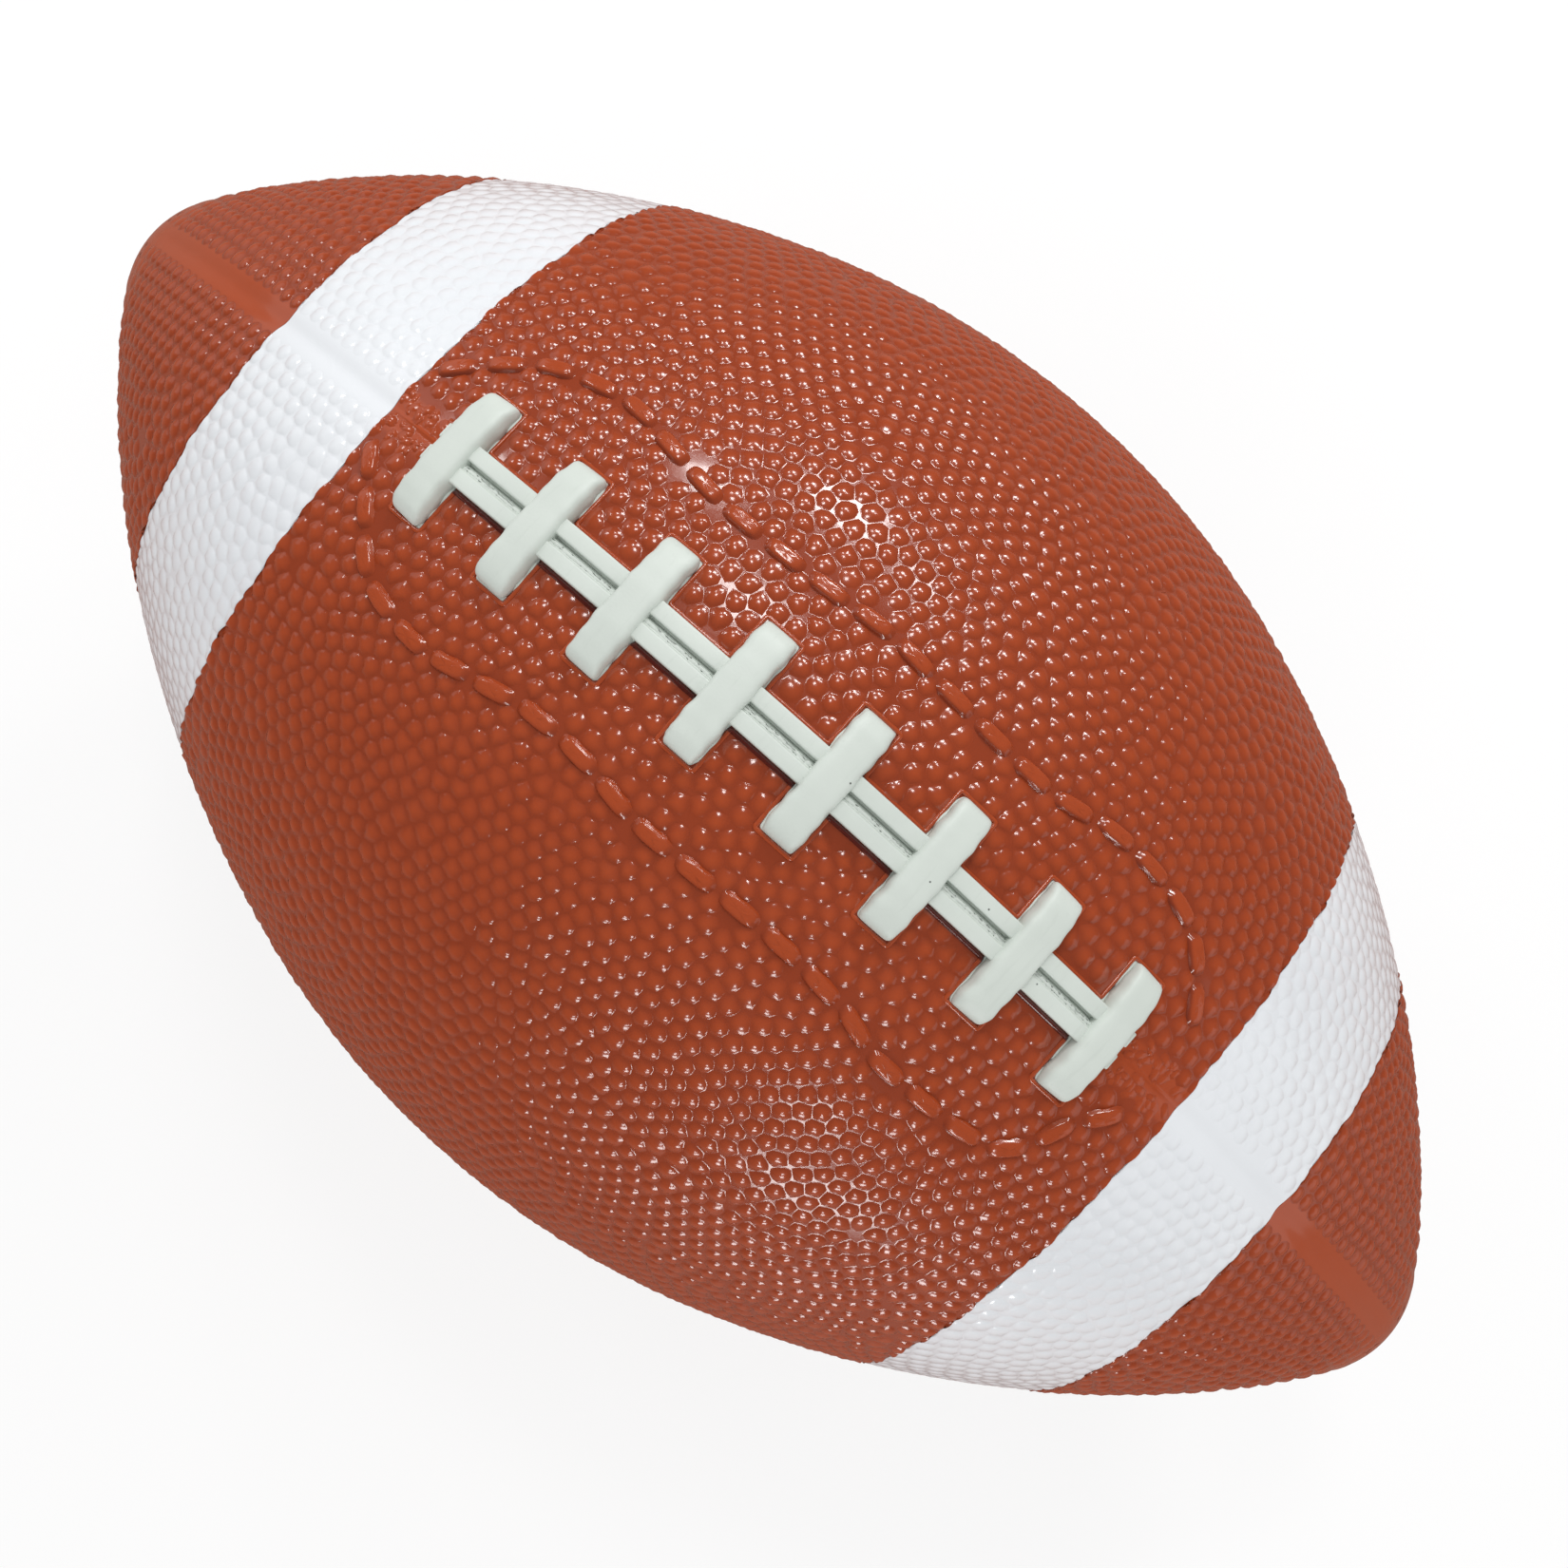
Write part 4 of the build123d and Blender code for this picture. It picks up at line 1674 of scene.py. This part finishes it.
    def wrinkles(self, place: Place) -> PebbleField:
        """Uneven lumps beside the parting ridge, between each end of the lace and the stripe.

        In the direction t a lump reaches r (1 + a sin(2 t + p)), with a random size r and a random phase p.

        Args:
            place: The quarter, which is one beside the lace.

        Returns:
            The lumps.
        """
        random = np.random.default_rng(self.wrinkle_seed + place.value[1])
        rear, front = self.lace.reach
        spans = np.array(((-self.stripe_start, rear), (front, self.stripe_start)))
        count = len(spans) * self.wrinkle_count
        share = random.uniform(size=(len(spans), self.wrinkle_count))
        run = (spans[:, :1] + np.ptp(spans, axis=1)[:, None] * share).ravel()
        away = random.uniform(*self.wrinkle_zone, count) / self.skin.girth(run)
        local = away if place is Place.UPPER_LEFT else QUARTER - away
        sway = np.sin(2 * self.grain.turns + random.uniform(0, TURN, (count, 1)))
        reach = random.uniform(*self.wrinkle_radius, (count, 1)) * (1 + self.wrinkle_sway * sway)
        return PebbleField(run, place.start + local, reach, random.uniform(*self.wrinkle_height, count))

    def build(
        self, place: Place, cover: bpy.types.Material, white: bpy.types.Material
    ) -> list[bpy.types.Object]:
        """Builds and dresses the panel and the stripes of one quarter.

        Args:
            place: The quarter.
            cover: Material of the panel.
            white: Material of the stripes.

        Returns:
            The panel's object and the two stripes' objects.
        """
        pebbles = self.clear_of(self.grain.scatter(place, self.room(place)), place)
        near, far = self.edges(pebbles.run, pebbles.angle)
        reach = np.abs(pebbles.run)
        spread = pebbles.radius - self.split_least
        striped = (reach + spread > near) & (reach - spread < far)
        plain = (reach - spread < near) | (reach + spread > far)
        floor = self.level(place)
        parts = [self.panel_slab(place), self.grain.form(pebbles.part(plain), floor, self.off_stripes)]
        for side, quarter in ((1, Place.UPPER_LEFT), (-1, Place.UPPER_RIGHT)):
            if place is quarter:
                parts += [self.lip(side), self.grain.form(self.wrinkles(place), floor, self.off_stripes)]
                parts += [row.form(self.floor) for row in self.stitches if row.side == side]
        if place is self.valve.place:
            parts.append(self.valve.form(self.floor))
        panel = Form.joined(parts).to_object(f"cover_{place.label}", cover)
        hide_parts(f"panel_{place.label}")
        made = [panel]
        for end in End:
            chosen = pebbles.part(striped & (pebbles.run * end.side > 0)).lowered(self.stripe_share)
            grain = self.grain.form(chosen, floor, self.onto_stripes)
            strip = Form.joined([self.stripe_slab(place, end), grain])
            stripe = strip.to_object(f"white_{end.label}_{place.label}", white)
            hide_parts(f"stripe_{end.label}_{place.label}")
            made.append(stripe)
        return made


@dataclass
class InnerPieces:
    """Pieces inside the cover, which keep their solids and get their finishes."""

    finishes: dict[str, Union[PlainRubber, WoundNylon]] = field(default_factory=lambda: {
        "bladder": PlainRubber("bladder_rubber", deep=(0.012, 0.012, 0.013), bloom=(0.05, 0.05, 0.05)),
        "nylon_winding": WoundNylon(),
        "valve_housing": PlainRubber("valve_rubber", deep=(0.02, 0.02, 0.02), bloom=(0.07, 0.07, 0.065)),
        "valve_plug": PlainRubber("plug_rubber", deep=(0.035, 0.032, 0.028), bloom=(0.1, 0.09, 0.08)),
    })

    def dress(self) -> None:
        """Gives every inner node its material."""
        for node, finish in self.finishes.items():
            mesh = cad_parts[node].data
            mesh.materials.clear()
            mesh.materials.append(finish.dress())
            log.info("%s dressed as %s", node, finish.slot)


@dataclass(frozen=True)
class SoftBox:
    """Rectangular soft light that faces the ball."""

    name: str
    toward: tuple[float, float, float]
    size: tuple[float, float]
    brightness: float
    distance: float = 900.0

    def build(self) -> bpy.types.Object:
        """Makes the lamp.

        Returns:
            The lamp's object.
        """
        lamp = bpy.data.lights.new(self.name, "AREA")
        lamp.shape = "RECTANGLE"
        lamp.size, lamp.size_y = (side * MM for side in self.size)
        lamp.energy = self.brightness * pi * lamp.size * lamp.size_y
        holder = bpy.data.objects.new(self.name, lamp)
        outward = Vector(self.toward).normalized()
        turn = outward.to_track_quat("Z", "Y").to_matrix().to_4x4()
        holder.matrix_world = Matrix.Translation(outward * self.distance * MM) @ turn
        bpy.context.scene.collection.objects.link(holder)
        return holder


@dataclass
class Studio:
    """Plain pale floor, soft light and the camera at the photograph's angle."""

    skin: BallSkin
    camera_place: tuple[float, float, float] = (4.716, -23.69, 344.98)
    camera_aim: tuple[float, float, float] = (2.046, 1.84, 0.0)
    camera_roll: float = radians(41.8)
    lens: float = 45.085
    sensor: float = 36.0
    clip_near: float = 5.0
    clip_far: float = 20000.0
    floor_half: float = 6000.0
    floor_drop: float = 0.2
    floor_colour: Colour = (0.86, 0.86, 0.86)
    floor_mirror: Colour = (0.34, 0.17, 0.13)
    floor_roughness: float = 0.7
    floor_white_share: float = 0.72
    floor_white: float = 1.06
    world_fill: float = 0.67
    world_seen: float = 0.9
    world_mirror: float = 0.05
    lights: Sequence[SoftBox] = (
        SoftBox("upper_lamp", (-0.25, 0.77, 0.59), (160.0, 130.0), 21.0),
        SoftBox("upper_rear_lamp", (-0.5, 0.56, 0.66), (90.0, 90.0), 20.0),
        SoftBox("upper_front_lamp", (-0.04, 0.76, 0.65), (90.0, 90.0), 18.0),
        SoftBox("top_lamp", (-0.28, 0.36, 0.89), (150.0, 130.0), 16.0),
        SoftBox("lower_lamp", (0.56, -0.81, 0.18), (230.0, 170.0), 8.5),
        SoftBox("lower_front_lamp", (0.5, -0.72, 0.48), (125.0, 125.0), 11.0),
        SoftBox("rear_lamp", (-0.83, 0.13, 0.54), (110.0, 100.0), 12.0),
        SoftBox("rear_wall", (-0.97, 0.1, 0.2), (700.0, 420.0), 0.38),
        SoftBox("front_wall", (0.97, 0.1, 0.2), (700.0, 420.0), 0.38),
    )

    def build_camera(self) -> bpy.types.Object:
        """Makes the camera, turned so that the ball's X axis falls by the roll across the picture.

        Returns:
            The camera's object.
        """
        place, aim = Vector(self.camera_place), Vector(self.camera_aim)
        back = (place - aim).normalized()
        level = (Vector((1, 0, 0)) - back * back.x).normalized()
        upright = back.cross(level)
        right = level * cos(self.camera_roll) + upright * sin(self.camera_roll)
        up = upright * cos(self.camera_roll) - level * sin(self.camera_roll)
        lens = bpy.data.cameras.new("camera")
        lens.lens = self.lens
        lens.sensor_width = self.sensor
        lens.clip_start = self.clip_near * MM
        lens.clip_end = self.clip_far * MM
        holder = bpy.data.objects.new("camera", lens)
        turn = Matrix((right, up, back)).transposed().to_4x4()
        holder.matrix_world = Matrix.Translation(place * MM) @ turn
        bpy.context.scene.collection.objects.link(holder)
        bpy.context.scene.camera = holder
        return holder

    def build_floor(self) -> bpy.types.Object:
        """Makes the floor, part white to the camera so that it stays pale and keeps the shadow.

        Returns:
            The floor's object.
        """
        board = NodeBoard.for_material("floor")
        rays = board.node("ShaderNodeLightPath", {}, {})
        mirrored = Signal(board, rays.outputs["Is Glossy Ray"])
        plain = board.node("ShaderNodeBsdfPrincipled", {}, {
            "Base Color": board.blend(mirrored, self.floor_colour, self.floor_mirror),
            "Roughness": self.floor_roughness,
        })
        white = board.node("ShaderNodeEmission", {}, {"Strength": self.floor_white})
        share = Signal(board, rays.outputs["Is Camera Ray"]) * self.floor_white_share
        mixed = board.node("ShaderNodeMixShader", {}, {0: share, 1: plain.outputs[0], 2: white.outputs[0]})
        board.node("ShaderNodeOutputMaterial", {}, {"Surface": mixed.outputs[0]})
        level = -self.skin.diameter / 2 - self.floor_drop
        half = self.floor_half
        corners = np.array([
            (-half, -half, level), (half, -half, level), (half, half, level), (-half, half, level),
        ])
        floor = Form(corners, [FaceBlock(np.arange(4)[None], False)]).to_object("floor", board.owner)
        return floor

    def build_world(self) -> None:
        """Makes the surroundings: pale to the camera, a soft fill on the ball and a dimmer mirror image."""
        world = bpy.data.worlds.new("studio")
        bpy.context.scene.world = world
        board = NodeBoard(world)
        rays = board.node("ShaderNodeLightPath", {}, {})
        seen = Signal(board, rays.outputs["Is Camera Ray"])
        mirrored = Signal(board, rays.outputs["Is Glossy Ray"])
        level = self.world_fill + seen * (self.world_seen - self.world_fill)
        level = level + mirrored * (self.world_mirror - self.world_fill)
        sky = board.node("ShaderNodeBackground", {}, {"Color": (1, 1, 1, 1), "Strength": level})
        board.node("ShaderNodeOutputWorld", {}, {"Surface": sky.outputs[0]})

    def build(self) -> None:
        """Builds the floor, the surroundings, the lights and the camera."""
        self.build_floor()
        self.build_world()
        for light in self.lights:
            light.build()
        self.build_camera()
        bpy.context.scene.view_settings.view_transform = "Standard"


UPPER_STITCHES = (
    (-78.0, 8.0), (-70.0, 15.0), (-62.0, 20.0), (-50.0, 22.5), (-40.0, 21.0), (-30.0, 19.5), (-20.0, 19.5),
    (-10.0, 20.0), (0.0, 21.0), (10.0, 20.5), (30.0, 20.0), (43.0, 22.5), (55.0, 22.0), (63.0, 19.0),
    (70.0, 12.0), (73.0, 6.0),
)
LOWER_STITCHES = (
    (-78.0, -5.0), (-70.0, -14.0), (-62.0, -21.0), (-50.0, -23.5), (-40.0, -22.0), (-30.0, -20.0),
    (-20.0, -20.0), (-10.0, -21.5), (0.0, -21.5), (10.0, -21.0), (20.0, -21.0), (30.0, -22.0), (40.0, -24.0),
    (60.0, -22.0), (67.0, -12.0), (72.0, -6.0),
)


def report(piece: bpy.types.Object) -> None:
    """Sets a finished piece on the ball's body and logs its size in triangles."""
    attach(piece, BODY)
    piece.data.calc_loop_triangles()
    log.info("%s: %d triangles", piece.name, len(piece.data.loop_triangles))


def main() -> None:
    """Builds the ball from the inside out, then the studio."""
    logging.basicConfig(level=logging.INFO, format="%(name)s: %(message)s")
    skin = BallSkin()
    InnerPieces().dress()
    lace = Lace(skin)
    stitches = (StitchRow(skin, 1, UPPER_STITCHES), StitchRow(skin, -1, LOWER_STITCHES))
    cover = Cover(skin, lace, Valve(skin), PebbleGrain(skin), stitches)
    cover_material = CoverRubber(lace).dress()
    white_material = StripeRubber().dress()
    for place in Place:
        for piece in cover.build(place, cover_material, white_material):
            report(piece)
    report(lace.build(LaceRubber()))
    Studio(skin).build()


if __name__ == "__main__":
    main()
